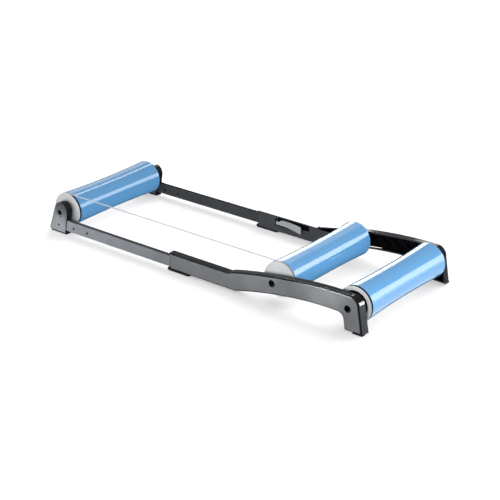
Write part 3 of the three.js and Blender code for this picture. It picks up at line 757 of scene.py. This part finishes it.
def rail_look(centre, normal):
    """0 satin sides, 1 black polish on the tops, edges and corner, darker than the sides partly as painted
    shade, 2 painted shade inside the pocket and the lever's recess, 3 the rear face.
    """
    x, depth, z = centre
    behind_face = depth < RAIL_DEPTH - 0.2
    # Painted shade inside the open pocket and over its ribs.
    if behind_face and depth > RAIL_WALL - 0.5 and x > BEND and from_outline(x, z) >= 0.6:
        return 2
    # Painted shade on the walls and floor of the lever's recess.
    in_recess = PAINTED_SHADE_STATIONS[0] < x < PAINTED_SHADE_STATIONS[1] and PAINTED_SHADE_HEIGHTS[0] < z < PAINTED_SHADE_HEIGHTS[1]
    if behind_face and depth > PAINTED_SHADE_DEPTH and in_recess:
        return 2
    # Only the faces across the rail stay satin grey; the tops, edges and corner get the black polish, darker
    # partly as painted shade.
    if abs(normal.y) > 0.96:
        return 0
    plain_rear = z < PLAIN_REAR_TOP and x > CORNER[0] and normal.x > 0.9
    return 3 if plain_rear else 1


# Brackets and tubes


def bracket_outline(draw, bottom):
    """A round head on two leaning sides, drawn in by a distance and cut off at a height."""
    x, z = HEAD
    front, rear = math.radians(HEAD_FRONT_LEAN), math.radians(HEAD_REAR_LEAN)
    front_tangent = (x - HEAD_RADIUS * math.cos(front), z + HEAD_RADIUS * math.sin(front))
    rear_tangent = (x + HEAD_RADIUS * math.cos(rear), z - HEAD_RADIUS * math.sin(rear))
    front_foot = front_tangent[0] + draw / math.cos(front) - (front_tangent[1] - bottom) * math.tan(front)
    rear_foot = rear_tangent[0] - draw / math.cos(rear) - (rear_tangent[1] - bottom) * math.tan(rear)
    points = [(front_foot + BRACKET_TOE, bottom), (rear_foot, bottom)]
    points += arc(x, z, HEAD_RADIUS - draw, -HEAD_REAR_LEAN, 180 - HEAD_FRONT_LEAN, 40)
    points.append((front_foot + BRACKET_TOE * math.tan(front), bottom + BRACKET_TOE))
    return tidy(points)


def bracket_solid():
    station = AXLES["front"]
    room_bottom = TUBE["bottom"] + TUBE["height"] + TUBE_GAP + RAIL_WALL
    bracket = rounded_slab(bracket_outline(0, BRACKET_BOTTOM), RAIL_DEPTH, BRACKET_EDGE, BRACKET_EDGE)
    room = slab(bracket_outline(RAIL_WALL, room_bottom), RAIL_WALL, RAIL_DEPTH + OVER)
    bracket = boolean(bracket, room)
    bracket = union(bracket, cross_rod(station, AXLE_HEIGHT, BRACKET_BOSS_RADIUS, RAIL_WALL - 1, RAIL_DEPTH))
    bracket = boolean(bracket, countersink(station, AXLE_HEIGHT, **BRACKET_RECESS))
    bracket = boolean(bracket, cross_rod(station, AXLE_HEIGHT, AXLE_HOLE_RADIUS, -OVER, RAIL_DEPTH + OVER))
    ring = [(RING_INNER, -1), (RING_OUTER, -1)]
    ring += [(RING_OUTER - 0.4, RING_DEPTH), (RING_INNER + 0.4, RING_DEPTH)]
    bracket = boolean(bracket, moved(turned(ring, 64), station, 0, AXLE_HEIGHT))
    bracket = boolean(bracket, bar(channel_section(), TUBE["front"] - TUBE_GAP, SOCKET_END))
    bracket = boolean(bracket, countersink(HOLES[0], HOLE_HEIGHT, **CLAMP_RECESS))
    hole = cross_rod(HOLES[0], HOLE_HEIGHT, CLAMP_HOLE_RADIUS, -OVER, RAIL_DEPTH - 3, 24)
    bracket = clean(boolean(bracket, hole))
    face_materials(bracket, bracket_look)
    return bracket


def bracket_look(centre, normal):
    """0 satin, 1 black polish on the sides, darker than the outer face partly as painted shade, and in the
    ring groove.
    """
    from_axle = math.hypot(centre.x - AXLES["front"], centre.z - AXLE_HEIGHT)
    in_ring = 0.05 < centre.y < 1 and from_axle < RING_OUTER + 0.6
    # The sides get the black polish, darker partly as painted shade.
    return 1 if abs(normal.y) < 0.55 or in_ring else 0


def tube_section(draw):
    near, far = TUBE["depth"] + draw, TUBE["depth"] + TUBE["width"] - draw
    low, high = TUBE["bottom"] + draw, TUBE["bottom"] + TUBE["height"] - draw
    return box_outline(near, far, low, high, TUBE["radius"] - draw * 0.8)


def tube_solid():
    tube = bar(tube_section(0), TUBE["front"], TUBE["rear"])
    tube = boolean(tube, bar(tube_section(TUBE_WALL), TUBE["front"] - OVER, TUBE["rear"] + OVER))
    for station in HOLES:
        tube = boolean(tube, cross_rod(station, HOLE_HEIGHT, HOLE_RADIUS, 0, RAIL_DEPTH, 24))
    tube = boolean(tube, cross_rod(LOCK_PIN, TUBE_MIDDLE, LOCK_PIN_RADIUS + 0.5, 12, RAIL_DEPTH, 24))
    tube = clean(tube)
    face_materials(tube, tube_look)
    return tube


def below_skin(centre):
    """How far a point lies inside the tube's outer surface."""
    side = min(centre.y - TUBE["depth"], TUBE["depth"] + TUBE["width"] - centre.y)
    top = min(centre.z - TUBE["bottom"], TUBE["bottom"] + TUBE["height"] - centre.z)
    radius = TUBE["radius"]
    if side < radius and top < radius:
        return radius - math.hypot(radius - side, radius - top)
    return min(side, top)


def tube_look(centre, normal):
    """0 satin, 1 painted shade on the top and the ends, 2 painted shade on the inside and the holes' walls.
    """
    if below_skin(centre) > 0.3 and TUBE["front"] + 0.5 < centre.x < TUBE["rear"] - 0.5:
        return 2
    # The top and the ends are painted darker as shade.
    return 1 if normal.z > 0.25 or abs(normal.x) > 0.9 else 0


# Levers


def lever_plan():
    """The blade from above: thin, and bowed away from the rail towards its free end."""
    pivot, end, back, face = LEVER_PIVOT, LEVER_END, LEVER_BACK, RAIL_DEPTH
    plan = [(pivot, back - 0.6), (pivot + 40, back + 1.4)]
    plan += bezier([(pivot + 40, back + 1.4), (pivot + 76, back + 3.4), (end - 2, face + 11)], 16)
    plan += bezier([(end - 2, face + 11), (end + 1.5, face + 13.5), (end - 1, face + 15)], 6)
    plan += bezier([(end - 1, face + 15), (pivot + 72, face + 5.6), (pivot + 40, face + 2.6)], 16)
    plan.append((pivot, face + 0.8))
    return tidy(plan)


def lever_side():
    """The blade from the side: low at the knuckle, high at its rounded free end."""
    pivot, end, low, high = LEVER_PIVOT, LEVER_END, LEVER_LOW, LEVER_HIGH
    side = [(pivot - 3, KNUCKLE_LOW), (pivot + 6, KNUCKLE_LOW)]
    side += bezier([(pivot + 6, KNUCKLE_LOW), (pivot + 70, KNUCKLE_LOW + 1), (end - 6, low)], 12)
    side += bezier([(end - 6, low), (end + 3, low), (end + 3, low + 5)], 6)
    side.append((end + 3, high - 5))
    side += bezier([(end + 3, high - 5), (end + 3, high), (end - 6, high)], 6)
    side.append((pivot + 34, high))
    side += bezier([(pivot + 34, high), (pivot + 18, high - 1), (pivot + 12, KNUCKLE_HIGH)], 8)
    side.append((pivot - 3, KNUCKLE_HIGH))
    return tidy(side)


def lever_solid():
    pivot, depth, face = LEVER_PIVOT, LEVER_PIVOT_DEPTH, RAIL_DEPTH
    lever = plate(lever_plan(), LEVER_LOW, LEVER_HIGH)
    lever = boolean(lever, slab(lever_side(), face - 15, face + 25), "INTERSECT")
    front, rear, bottom, top = pivot - 8, pivot + 6, LEVER_LOW - 2, KNUCKLE_LOW
    lever = boolean(lever, slab([(front, bottom), (rear, bottom), (rear, top), (front, top)], 12, 32))
    lever = union(lever, upright_rod(pivot, depth, KNUCKLE_RADIUS, KNUCKLE_LOW, KNUCKLE_HIGH))
    lever = boolean(lever, upright_rod(pivot, depth, LEVER_PIN_RADIUS, 20, 60))
    lever = boolean(lever, cross_rod(LOCK_PIN, TUBE_MIDDLE, LOCK_PIN_RADIUS - 0.7, face - 10, face))
    return clean(lever, 0.5)


def soften(obj, width, segments):
    """Rounds a solid's hard edges. The width is in metres."""
    bevel = obj.modifiers.new("edges", "BEVEL")
    bevel.width = width
    bevel.segments = segments
    bevel.limit_method = "ANGLE"
    bevel.angle_limit = math.radians(40)
    bevel.use_clamp_overlap = True
    obj.modifiers.move(len(obj.modifiers) - 1, 0)


# Drums


def waist(y):
    """The drum's radius along its length: narrow in the middle, flaring to the ends."""
    full = SHELL_LEFT if y < 0 else SHELL_RIGHT
    return DRUM_WAIST + (DRUM_END - DRUM_WAIST) * abs(y / full) ** FLARE_POWER


def shell_solid():
    left, right, edge, chamfer = SHELL_LEFT, SHELL_RIGHT, SHELL_EDGE, SHELL_CHAMFER
    radius = waist(left)
    outer = [(radius - edge, left), (radius - chamfer, left + chamfer), (radius, left + edge)]
    steps = 64
    for i in range(1, steps):
        y = left + edge + (right - left - 2 * edge) * i / steps
        outer.append((waist(y), y))
    radius = waist(right)
    outer += [(radius, right - edge), (radius - chamfer, right - chamfer), (radius - edge, right)]
    bore, inner = SHELL_BORE, DRUM_WAIST - SHELL_WALL
    inside = [(bore, right), (bore, right - SHELL_BORE_DEPTH), (inner, right - SHELL_TAPER_END)]
    inside += [(inner, left + SHELL_TAPER_END), (bore, left + SHELL_BORE_DEPTH), (bore, left)]
    return turned(outer + inside, 128)


def shell_look(centre, normal):
    """0 blue, 1 the black end faces."""
    return 1 if abs(normal.y) > 0.7 and math.hypot(centre.x, centre.z) > 50 else 0


def cap_solid(grooved):
    """An end cap. The grooved one carries the belt, and the other is a plug in the drum's end."""
    hub, face = CAP_HUB, CAP_FACE
    rim = [(hub, face), (hub + 0.4, 1.1), (21, 1.1), (21.6, face), (CAP_WEB_EDGE, face)]
    rim += [(52.6, face), (53.4, 1.2), (54.0, 0.2), (54.6, 0)]
    if grooved:
        shoulder = GROOVE_FRONT + GROOVE_WIDTH
        edge = [(59.2, 0), (59.8, 0.3), (60.0, 0.9), (60.0, 3.4), (59.6, 4.0), (56.6, 4.7)]
        edge += [(GROOVE_RADIUS, 5.2), (GROOVE_RADIUS, shoulder)]
    else:
        shoulder = PLUG_RIM
        edge = [(PLUG_RADIUS - 0.6, 0), (PLUG_RADIUS, 0.5), (PLUG_RADIUS, shoulder)]
    outer, inner, end = CAP_SPIGOT, CAP_SPIGOT - CAP_SPIGOT_WALL, shoulder + CAP_SPIGOT_LENGTH
    inside = [(outer, shoulder), (outer, end), (inner, end)]
    inside += [(inner, CAP_WEB), (hub + 4, CAP_WEB), (hub, CAP_SEAT)]
    return turned(rim + edge + inside, 128)


def cap_look(centre, normal):
    """0 white, 1 the belt groove, coloured black, 2 the web within the rim, which on the rear drum is painted
    shade.
    """
    radius = math.hypot(centre.x, centre.z)
    if radius < CAP_WEB_EDGE - 0.1 and centre.y < CAP_WEB:
        return 2
    return 1 if centre.y > GROOVE_FRONT - 0.6 and radius > GROOVE_RADIUS - 1.2 else 0


def axle_solid():
    """A stepped rod with a bore for a screw in each end."""
    radius, end, shoulder = AXLE_RADIUS, AXLE_END, AXLE_SHOULDER
    bore, bore_end = AXLE_BORE_RADIUS, AXLE_END - AXLE_BORE_DEPTH
    half = [(AXLE_SHOULDER_RADIUS, shoulder), (radius, shoulder), (radius, end - AXLE_CHAMFER)]
    half += [(radius - AXLE_CHAMFER, end), (bore, end), (bore, bore_end), (0, bore_end)]
    return turned([(r, -y) for r, y in reversed(half)] + half, 48)


def bearing_solid():
    """The bearing as seen: outer race, dust shield, inner race."""
    bore, outer, width = BEARING_BORE, BEARING_RADIUS, BEARING_WIDTH
    profile = [(bore, 0), (8.0, 0), (8.3, 0.5), (11.0, 0.5), (11.3, 0), (outer - 0.4, 0), (outer, 0.4)]
    profile += [(outer, width - 0.4), (outer - 0.4, width), (bore, width)]
    return moved(turned(profile, 64), 0, BEARING_INSET, 0)


def spacer_solid(station):
    low, high = RAIL_DEPTH + 0.3, WIDTH / 2 - DRUM_HALF + BEARING_INSET - 0.3
    bore, outer, chamfer = SPACER_BORE, SPACER_RADIUS, SPACER_CHAMFER
    profile = [(bore, low), (outer - chamfer, low), (outer, low + chamfer)]
    profile += [(outer, high - chamfer), (outer - chamfer, high), (bore, high)]
    return moved(turned(profile, 48), station, 0, AXLE_HEIGHT)


def screw_solid(station, height, head, shank, top, under, tip):
    """A socket-head screw, its head at the outer side."""
    profile = [(0, top), (head - 0.5, top), (head, top + 0.5), (head, under)]
    profile += [(shank, under), (shank, tip), (0, tip)]
    screw = boolean(turned(profile, 40), slab(circle(0, 0, head * 0.5, 6), top - 2, top + 2.5))
    return moved(screw, station, 0, height)


def belt_solid():
    """A round cord over both drums, with many points along it."""
    front, middle, wheel = AXLES["front"], AXLES["middle"], BELT_WHEEL
    path = arc(middle, AXLE_HEIGHT, wheel, -90, 90, 48)
    path += [(middle + (front - middle) * i / 60, AXLE_HEIGHT + wheel) for i in range(1, 60)]
    path += arc(front, AXLE_HEIGHT, wheel, 90, 270, 48)
    path += [(front + (middle - front) * i / 60, AXLE_HEIGHT - wheel) for i in range(1, 60)]
    rings = []
    for i, (x, z) in enumerate(path):
        a, b = Vector(path[i - 1]), Vector(path[(i + 1) % len(path)])
        along = (b - a).normalized()
        out = Vector((along.y, -along.x))
        ring = []
        for j in range(12):
            t = 2 * math.pi * j / 12
            away = out * (BELT_RADIUS * math.cos(t))
            ring.append((x + away.x, BELT_DEPTH + BELT_RADIUS * math.sin(t), z + away.y))
        rings.append(ring)
    return skin(rings, loop=True)


# Pads


def pad_outline(x0, x1, height, front, shift):
    points = [(x0 + front, 0.0), (x1, 0.0), (x1 - shift, height - 0.3), (x0, height - 0.3)]
    points += bezier([(x0, height - 0.3), (x0, 0.0), (x0 + front, 0.0)], 6)[:-1]
    return tidy(points)


def middle_pad_outline():
    """Its rounded nose stands out in front of the sleeve's mouth, below the tube."""
    nose, rear, top, nose_top = MOUTH - 8.5, MOUTH + 92, SLEEVE_BOTTOM - 0.3, TUBE["bottom"] - 1
    points = [(nose + 11, 0.0), (rear - 18, 0.0)]
    points += bezier([(rear - 18, 0.0), (rear - 5, 0.0), (rear, top)], 8)
    points += [(MOUTH + 4.4, top), (MOUTH + 2, nose_top), (nose + 2, nose_top)]
    points += bezier([(nose + 2, nose_top), (nose, nose_top), (nose, nose_top - 3)], 4)
    points += bezier([(nose, nose_top - 3), (nose, 0.0), (nose + 11, 0.0)], 8)[:-1]
    return tidy(points)


def pad_solid(outline, start, end, grooves, depth=PAD_DEPTH):
    """A pad with shallow grooves across its sole, between two stations."""
    pad = slab(outline, 1, depth)
    low, high = SOLE_GROOVE_HALF, SOLE_GROOVE_HALF - 0.4
    for i in range(grooves):
        x = start + (end - start) * (i + 0.5) / grooves
        groove = [(x - low, -1), (x + low, -1), (x + high, SOLE_GROOVE_DEPTH), (x - high, SOLE_GROOVE_DEPTH)]
        pad = boolean(pad, slab(groove, -2, RAIL_DEPTH + 2))
    return clean(pad)


# Assembly

rail = rail_solid()
bracket = bracket_solid()
tube = tube_solid()
lever = lever_solid()
rear_end = rear_face(0)
rear_shift = FOOT_BOTTOM * math.tan(FOOT_LEAN)
rear_pad = pad_outline(rear_end - REAR_PAD_LENGTH, rear_end, FOOT_BOTTOM, 3, rear_shift)
pads = {
    "rear": pad_solid(rear_pad, rear_end - 34, rear_end, 6, REAR_PAD_DEPTH),
    "middle": pad_solid(middle_pad_outline(), MOUTH + 3, MOUTH + 74, 12),
    "front": pad_solid(pad_outline(8, 84, 5, 5, 0), 13, 84, 12),
}
BODIES = {"front": "front_carriage", "middle": "rear_frame", "rear": "rear_frame"}
FRAME_PIECES = [
    (rail, "rail", "rear_frame", [RAIL, GLOSS_BLACK_AND_PAINTED_SHADE, INSIDE_PAINTED_SHADE, RAIL_END], "rail", "rear_rail"),
    (bracket, "bracket", "front_carriage", [RAIL, GLOSS_BLACK_AND_PAINTED_SHADE], "rail", "front_bracket"),
    (tube, "tube", "front_carriage", [TUBE_PAINT, TUBE_TOP_PAINTED_SHADE, INSIDE_PAINTED_SHADE], "tube", "front_tube"),
]


def finish_screw(screw, name, body, node, matrix):
    finish_piece(screw, name, body, BLACK_STEEL, [node], matrix)


for side in SIDES:
    place = side_matrix(side)
    for shape, name, body, looks, slot, node in FRAME_PIECES:
        finish_piece(copy_of(shape), f"{name}_{side}", body, looks, [f"{node}_{side}"], place)
    made = copy_of(lever)
    finish_piece(made, f"lever_blade_{side}", f"lever_{side}", LEVER, [f"lock_lever_{side}"], place)
    soften(made, 0.0007, 3)
    for name, pad in pads.items():
        made = copy_of(pad)
        pad_name, node = f"{name}_foot_pad_cut_{side}", f"{name}_foot_pad_{side}"
        finish_piece(made, pad_name, BODIES[name], RUBBER, [node], place)
        soften(made, 0.0004, 2)
    clamp = screw_solid(HOLES[0], HOLE_HEIGHT, **CLAMP_SCREW)
    finish_screw(clamp, f"clamp_screw_{side}", "front_carriage", f"bracket_screw_{side}", place)
    for name, station in AXLES.items():
        body = BODIES[name]
        screw = screw_solid(station, AXLE_HEIGHT, **AXLE_SCREW)
        finish_screw(screw, f"{name}_screw_{side}", body, f"{name}_axle_screw_{side}", place)
        spacer = spacer_solid(station)
        node = f"{name}_axle_spacer_{side}"
        finish_piece(spacer, f"{name}_spacer_{side}", body, STEEL, [node], place)

for spare in [rail, bracket, tube, lever, *pads.values()]:
    bpy.data.objects.remove(spare)

for name in AXLES:
    body = f"{name}_roller"
    place = axle_matrix(name)
    shell = shell_solid()
    face_materials(shell, shell_look)
    finish_piece(shell, f"{name}_drum", body, [DRUM, GROOVE_AND_END_BLACK], [f"{name}_roller_shell"], place)
    rod = axle_solid()
    finish_piece(rod, f"{name}_axle_rod", BODIES[name], STEEL, [f"{name}_axle"], place)
    for side in SIDES:
        end = axle_matrix(name, side)
        grooved = side == "left"
        cap = cap_solid(grooved)
        if grooved:
            face_materials(cap, cap_look)
        # On the rear drum the caps' web gets the black polish as painted shade, where the rail beside it
        # shades it.
        web = GLOSS_BLACK_AND_PAINTED_SHADE if name == "rear" else CAP
        looks = [CAP, GROOVE_AND_END_BLACK, web] if grooved else GLOSS_BLACK_AND_PAINTED_SHADE
        slot = "cap" if grooved else "rail"
        finish_piece(cap, f"{name}_cap_{side}", body, looks, [f"{name}_roller_cap_{side}"], end)
        bearing = bearing_solid()
        node = f"{name}_roller_bearing_{side}"
        finish_piece(bearing, f"{name}_bearing_{side}", body, STEEL, [node], end)

belt = belt_solid()
belt.name = "belt_cord"
belt.data.transform(side_matrix("left"))
belt.data.materials.append(BELT)
belt.data.shade_smooth()
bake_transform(belt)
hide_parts("drive_belt")


# Camera, as fitted to the photograph: angles in radians, lengths in millimetres, lens in picture pixels

AZIMUTH = 0.686097
ELEVATION = 0.416202
ROLL = -0.009051
TARGET = Vector((675, 0, 0))
TO_THE_RIGHT = 36.947
UPWARDS = 14.564
DISTANCE = 4771.646
FOCAL_LENGTH = 1402.159
PICTURE_SHIFT = -1.425
PICTURE_SIZE = 500
SENSOR_WIDTH = 36


def camera():
    across = math.cos(ELEVATION)
    back = Vector((math.sin(AZIMUTH) * across, -math.cos(AZIMUTH) * across, math.sin(ELEVATION)))
    level = Vector((math.cos(AZIMUTH), math.sin(AZIMUTH), 0))
    up = back.cross(level)
    right = level * math.cos(ROLL) + up * math.sin(ROLL)
    up = up * math.cos(ROLL) - level * math.sin(ROLL)
    place = TARGET + right * TO_THE_RIGHT + up * UPWARDS + back * DISTANCE
    place = (place - Vector((MIDDLE, 0, 0))) * 0.001
    data = bpy.data.cameras.new("camera")
    data.sensor_width = SENSOR_WIDTH
    data.lens = FOCAL_LENGTH / PICTURE_SIZE * SENSOR_WIDTH
    data.shift_x = PICTURE_SHIFT / PICTURE_SIZE
    data.clip_start = 0.05
    data.clip_end = 60
    cam = bpy.data.objects.new("camera", data)
    turn = Matrix((right, up, back)).transposed()
    cam.matrix_world = Matrix.Translation(place) @ turn.to_4x4()
    bpy.context.scene.collection.objects.link(cam)
    bpy.context.scene.camera = cam


camera()


# Floor and light


def floor():
    mesh = bpy.data.meshes.new("floor")
    size = 14
    corners = [(-size, -size, 0), (size, -size, 0), (size, size, 0), (-size, size, 0)]
    mesh.from_pydata(corners, [], [(0, 1, 2, 3)])
    obj = bpy.data.objects.new("floor", mesh)
    bpy.context.scene.collection.objects.link(obj)
    material, shader = new_material("floor_paper", (0.87, 0.865, 0.86), 0.8, Specular_IOR_Level=0.1)
    fibres = grain(material, coordinates(material), 6, 2)
    tint(material, shader, fibres, (0.865, 0.86, 0.855), (0.875, 0.87, 0.865))
    mesh.materials.append(material)
    obj.visible_diffuse = False
    obj.visible_glossy = False
    obj.visible_shadow = False
    return obj


def lamp(name, data, place, aim):
    obj = bpy.data.objects.new(name, data)
    obj.location = place
    obj.rotation_euler = (Vector(aim) - Vector(place)).to_track_quat("-Z", "Y").to_euler()
    bpy.context.scene.collection.objects.link(obj)
    return obj


def reach(light, members, state="INCLUDE"):
    """Lets a light fall on some objects only, or on all but these."""
    group = bpy.data.collections.new(light.name + "_receivers")
    for member in members:
        group.objects.link(member)
    light.light_linking.receiver_collection = group
    for member in group.collection_objects:
        member.light_linking.link_state = state


def sun(name, direction, strength, angle, only, shadow=True):
    """Parallel light that reaches only some objects."""
    data = bpy.data.lights.new(name, "SUN")
    data.energy = strength
    data.angle = math.radians(angle)
    data.use_shadow = shadow
    light = lamp(name, data, (0, 0, 0), direction)
    light.visible_glossy = False
    reach(light, only)


def softbox(name, place, aim, width, height, radiance):
    """A rectangular light of a given radiance."""
    data = bpy.data.lights.new(name, "AREA")
    data.shape = "RECTANGLE"
    data.size = width
    data.size_y = height
    data.energy = radiance * math.pi * width * height
    return lamp(name, data, place, aim)


def gleam(members, *values):
    """A softbox that some objects reflect, and that lights nothing else."""
    light = softbox(*values)
    light.visible_diffuse = False
    reach(light, members)


def glow(members, *values, state="INCLUDE"):
    """A softbox that gives even light without a reflection of itself."""
    light = softbox(*values)
    light.visible_glossy = False
    reach(light, members, state)


def spot(name, place, aim, power, angle, only):
    """A soft-edged cone of light on some objects."""
    data = bpy.data.lights.new(name, "SPOT")
    data.energy = power
    data.spot_size = math.radians(angle)
    data.spot_blend = 1.0
    data.shadow_soft_size = 0.03
    light = lamp(name, data, place, aim)
    light.visible_glossy = False
    reach(light, only)


def pieces(*starts):
    return [o for o in bpy.data.objects if o.name.startswith(starts)]


ground = floor()
middle_drum = pieces("middle_drum")
rear_drum = pieces("rear_drum")
rear_drums = middle_drum + rear_drum
front_drum = pieces("front_drum")
far_side = pieces("rail_right", "bracket_right", "tube_right")
near_rail = pieces("rail_left")
near_tube = pieces("tube_left")
all_drums = front_drum + rear_drums
floor_and_drums = [ground, *all_drums]
for drum in all_drums:
    drum.visible_diffuse = False
sun("floor_fill", (0, 0, -1), 1.6, 5, [ground], shadow=False)
sun("floor_key", (0.0, -0.75, -0.75), 1.7, 55, [ground])
gleam(far_side, "far_tops", (-1.965, 1.918, 0.85), (-0.415, -0.082, 0.06), 1.55, 1.25, 17.0)
gleam(far_side, "arch_tops", (-0.81, 2.15, 1.55), (0.45, 0.24, 0.13), 1.0, 0.9, 5.5)
gleam(near_rail, "near_edge", (-0.25, -1.64, 0.35), (0.5, -0.246, 0.12), 0.5, 0.3, 220.0)
gleam(near_rail, "corner", (1.475, 0.314, 0.17), (0.66, -0.235, 0.1), 0.2, 0.49, 75.0)
gleam(near_rail, "corner_glint", (0.074, 0.615, 0.762), (0.63, -0.235, 0.12), 1.3, 0.06, 28.0)
glow([ground], "front", (0.2, -1.1, 0.35), (0.2, 0.0, 0.05), 2.4, 0.5, 2.0, state="EXCLUDE")
glow(near_rail + near_tube, "front_near", (-0.3, -1.1, 0.35), (-0.3, -0.25, 0.05), 1.4, 0.5, 4.9)
glow(near_tube, "front_end", (-0.75, -0.9, 0.25), (-0.6, -0.25, 0.04), 0.5, 0.4, 36.0)
glow(floor_and_drums, "back", (0.2, 1.2, 0.35), (0.2, 0.2, 0.05), 2.4, 0.5, 2.5, state="EXCLUDE")
glow(floor_and_drums, "top", (0.0, 0.3, 1.7), (0.0, 0.0, 0.0), 2.4, 1.4, 1.1, state="EXCLUDE")
glow(rear_drums, "side", (2.0, -0.1, 0.75), (0.4, 0.0, 0.08), 1.2, 0.6, 5.5)
glow(front_drum, "front_side", (0.6, -0.3, 0.6), (-0.62, 0.0, 0.08), 0.8, 0.6, 1.4)
gleam(rear_drum, "floor_glow", (1.28, 0.9, 0.002), (1.28, 0.9, 1.0), 1.24, 2.2, 1.2)
gleam(front_drum, "streak", (1.7, 1.95, 0.64), (0.2, 1.95, 0.2), 3.3, 1.0, 4.5)
gleam(middle_drum, "middle_streak", (4.0, 3.8, 0.9), (0.5, 0.0, 0.1), 3.5, 3.3, 5.5)
gleam(rear_drum, "rear_streak", (4.0, 3.8, 1.04), (0.5, 0.0, 0.1), 3.5, 2.12, 4.9)
gleam(rear_drum, "rear_soft", (4.0, 3.8, -0.356), (0.5, 0.0, 0.1), 3.5, 0.6, 1.4)
gleam(rear_drums, "flank", (-1.6, 2.3, 0.85), (0.4, 2.3, 0.1), 3.4, 1.5, 4.0)
gleam(middle_drum, "soft_flank", (-0.21, 1.65, 1.37), (0.4, 0.0, 0.1), 3.4, 0.55, 1.0)
gleam(front_drum, "front_flank", (-2.2, 2.3, 1.1), (-0.6, 2.3, 0.1), 3.4, 1.5, 0.9)
gleam(front_drum, "thin_streak", (-0.75, 1.3, 0.72), (-0.55, 1.3, 0.1), 3.4, 0.14, 4.6)
spot("arch", (0.42, -1.2, 0.1), (0.54, -0.25, 0.135), 72, 12, near_rail)
spot("bracket_foot", (-0.9, -1.0, 0.12), (-0.63, -0.25, 0.02), 125, 12, pieces("bracket_left"))


def world():
    """Even light from all round. The camera sees white, and glossy surfaces see little below the horizon."""
    scene = bpy.context.scene
    scene.world = bpy.data.worlds.new("studio")
    scene.world.use_nodes = True
    nodes, links = scene.world.node_tree.nodes, scene.world.node_tree.links
    cool = (0.95, 0.97, 1.0)
    looks = {"above": (cool, 0.52), "below": (cool, 0.75), "dark": (cool, 0.04), "seen": ((1, 1, 1), 1.0)}
    shades = {}
    for name, (colour, strength) in looks.items():
        shades[name] = nodes.new("ShaderNodeBackground")
        shades[name].inputs["Color"].default_value = (*colour, 1)
        shades[name].inputs["Strength"].default_value = strength
    path = nodes.new("ShaderNodeLightPath")
    where = nodes.new("ShaderNodeTexCoord")
    split = nodes.new("ShaderNodeSeparateXYZ")
    links.new(where.outputs["Generated"], split.inputs["Vector"])
    below = nodes.new("ShaderNodeMapRange")
    below.inputs["From Min"].default_value = 0.06
    below.inputs["From Max"].default_value = -0.06
    links.new(split.outputs["Z"], below.inputs["Value"])
    lower, upper, whole = (nodes.new("ShaderNodeMixShader") for _ in range(3))
    links.new(path.outputs["Is Glossy Ray"], lower.inputs["Fac"])
    links.new(shades["below"].outputs[0], lower.inputs[1])
    links.new(shades["dark"].outputs[0], lower.inputs[2])
    links.new(below.outputs["Result"], upper.inputs["Fac"])
    links.new(shades["above"].outputs[0], upper.inputs[1])
    links.new(lower.outputs[0], upper.inputs[2])
    links.new(path.outputs["Is Camera Ray"], whole.inputs["Fac"])
    links.new(upper.outputs[0], whole.inputs[1])
    links.new(shades["seen"].outputs[0], whole.inputs[2])
    links.new(whole.outputs[0], nodes["World Output"].inputs["Surface"])
    scene.view_settings.view_transform = "Standard"
    scene.view_settings.look = "None"


world()
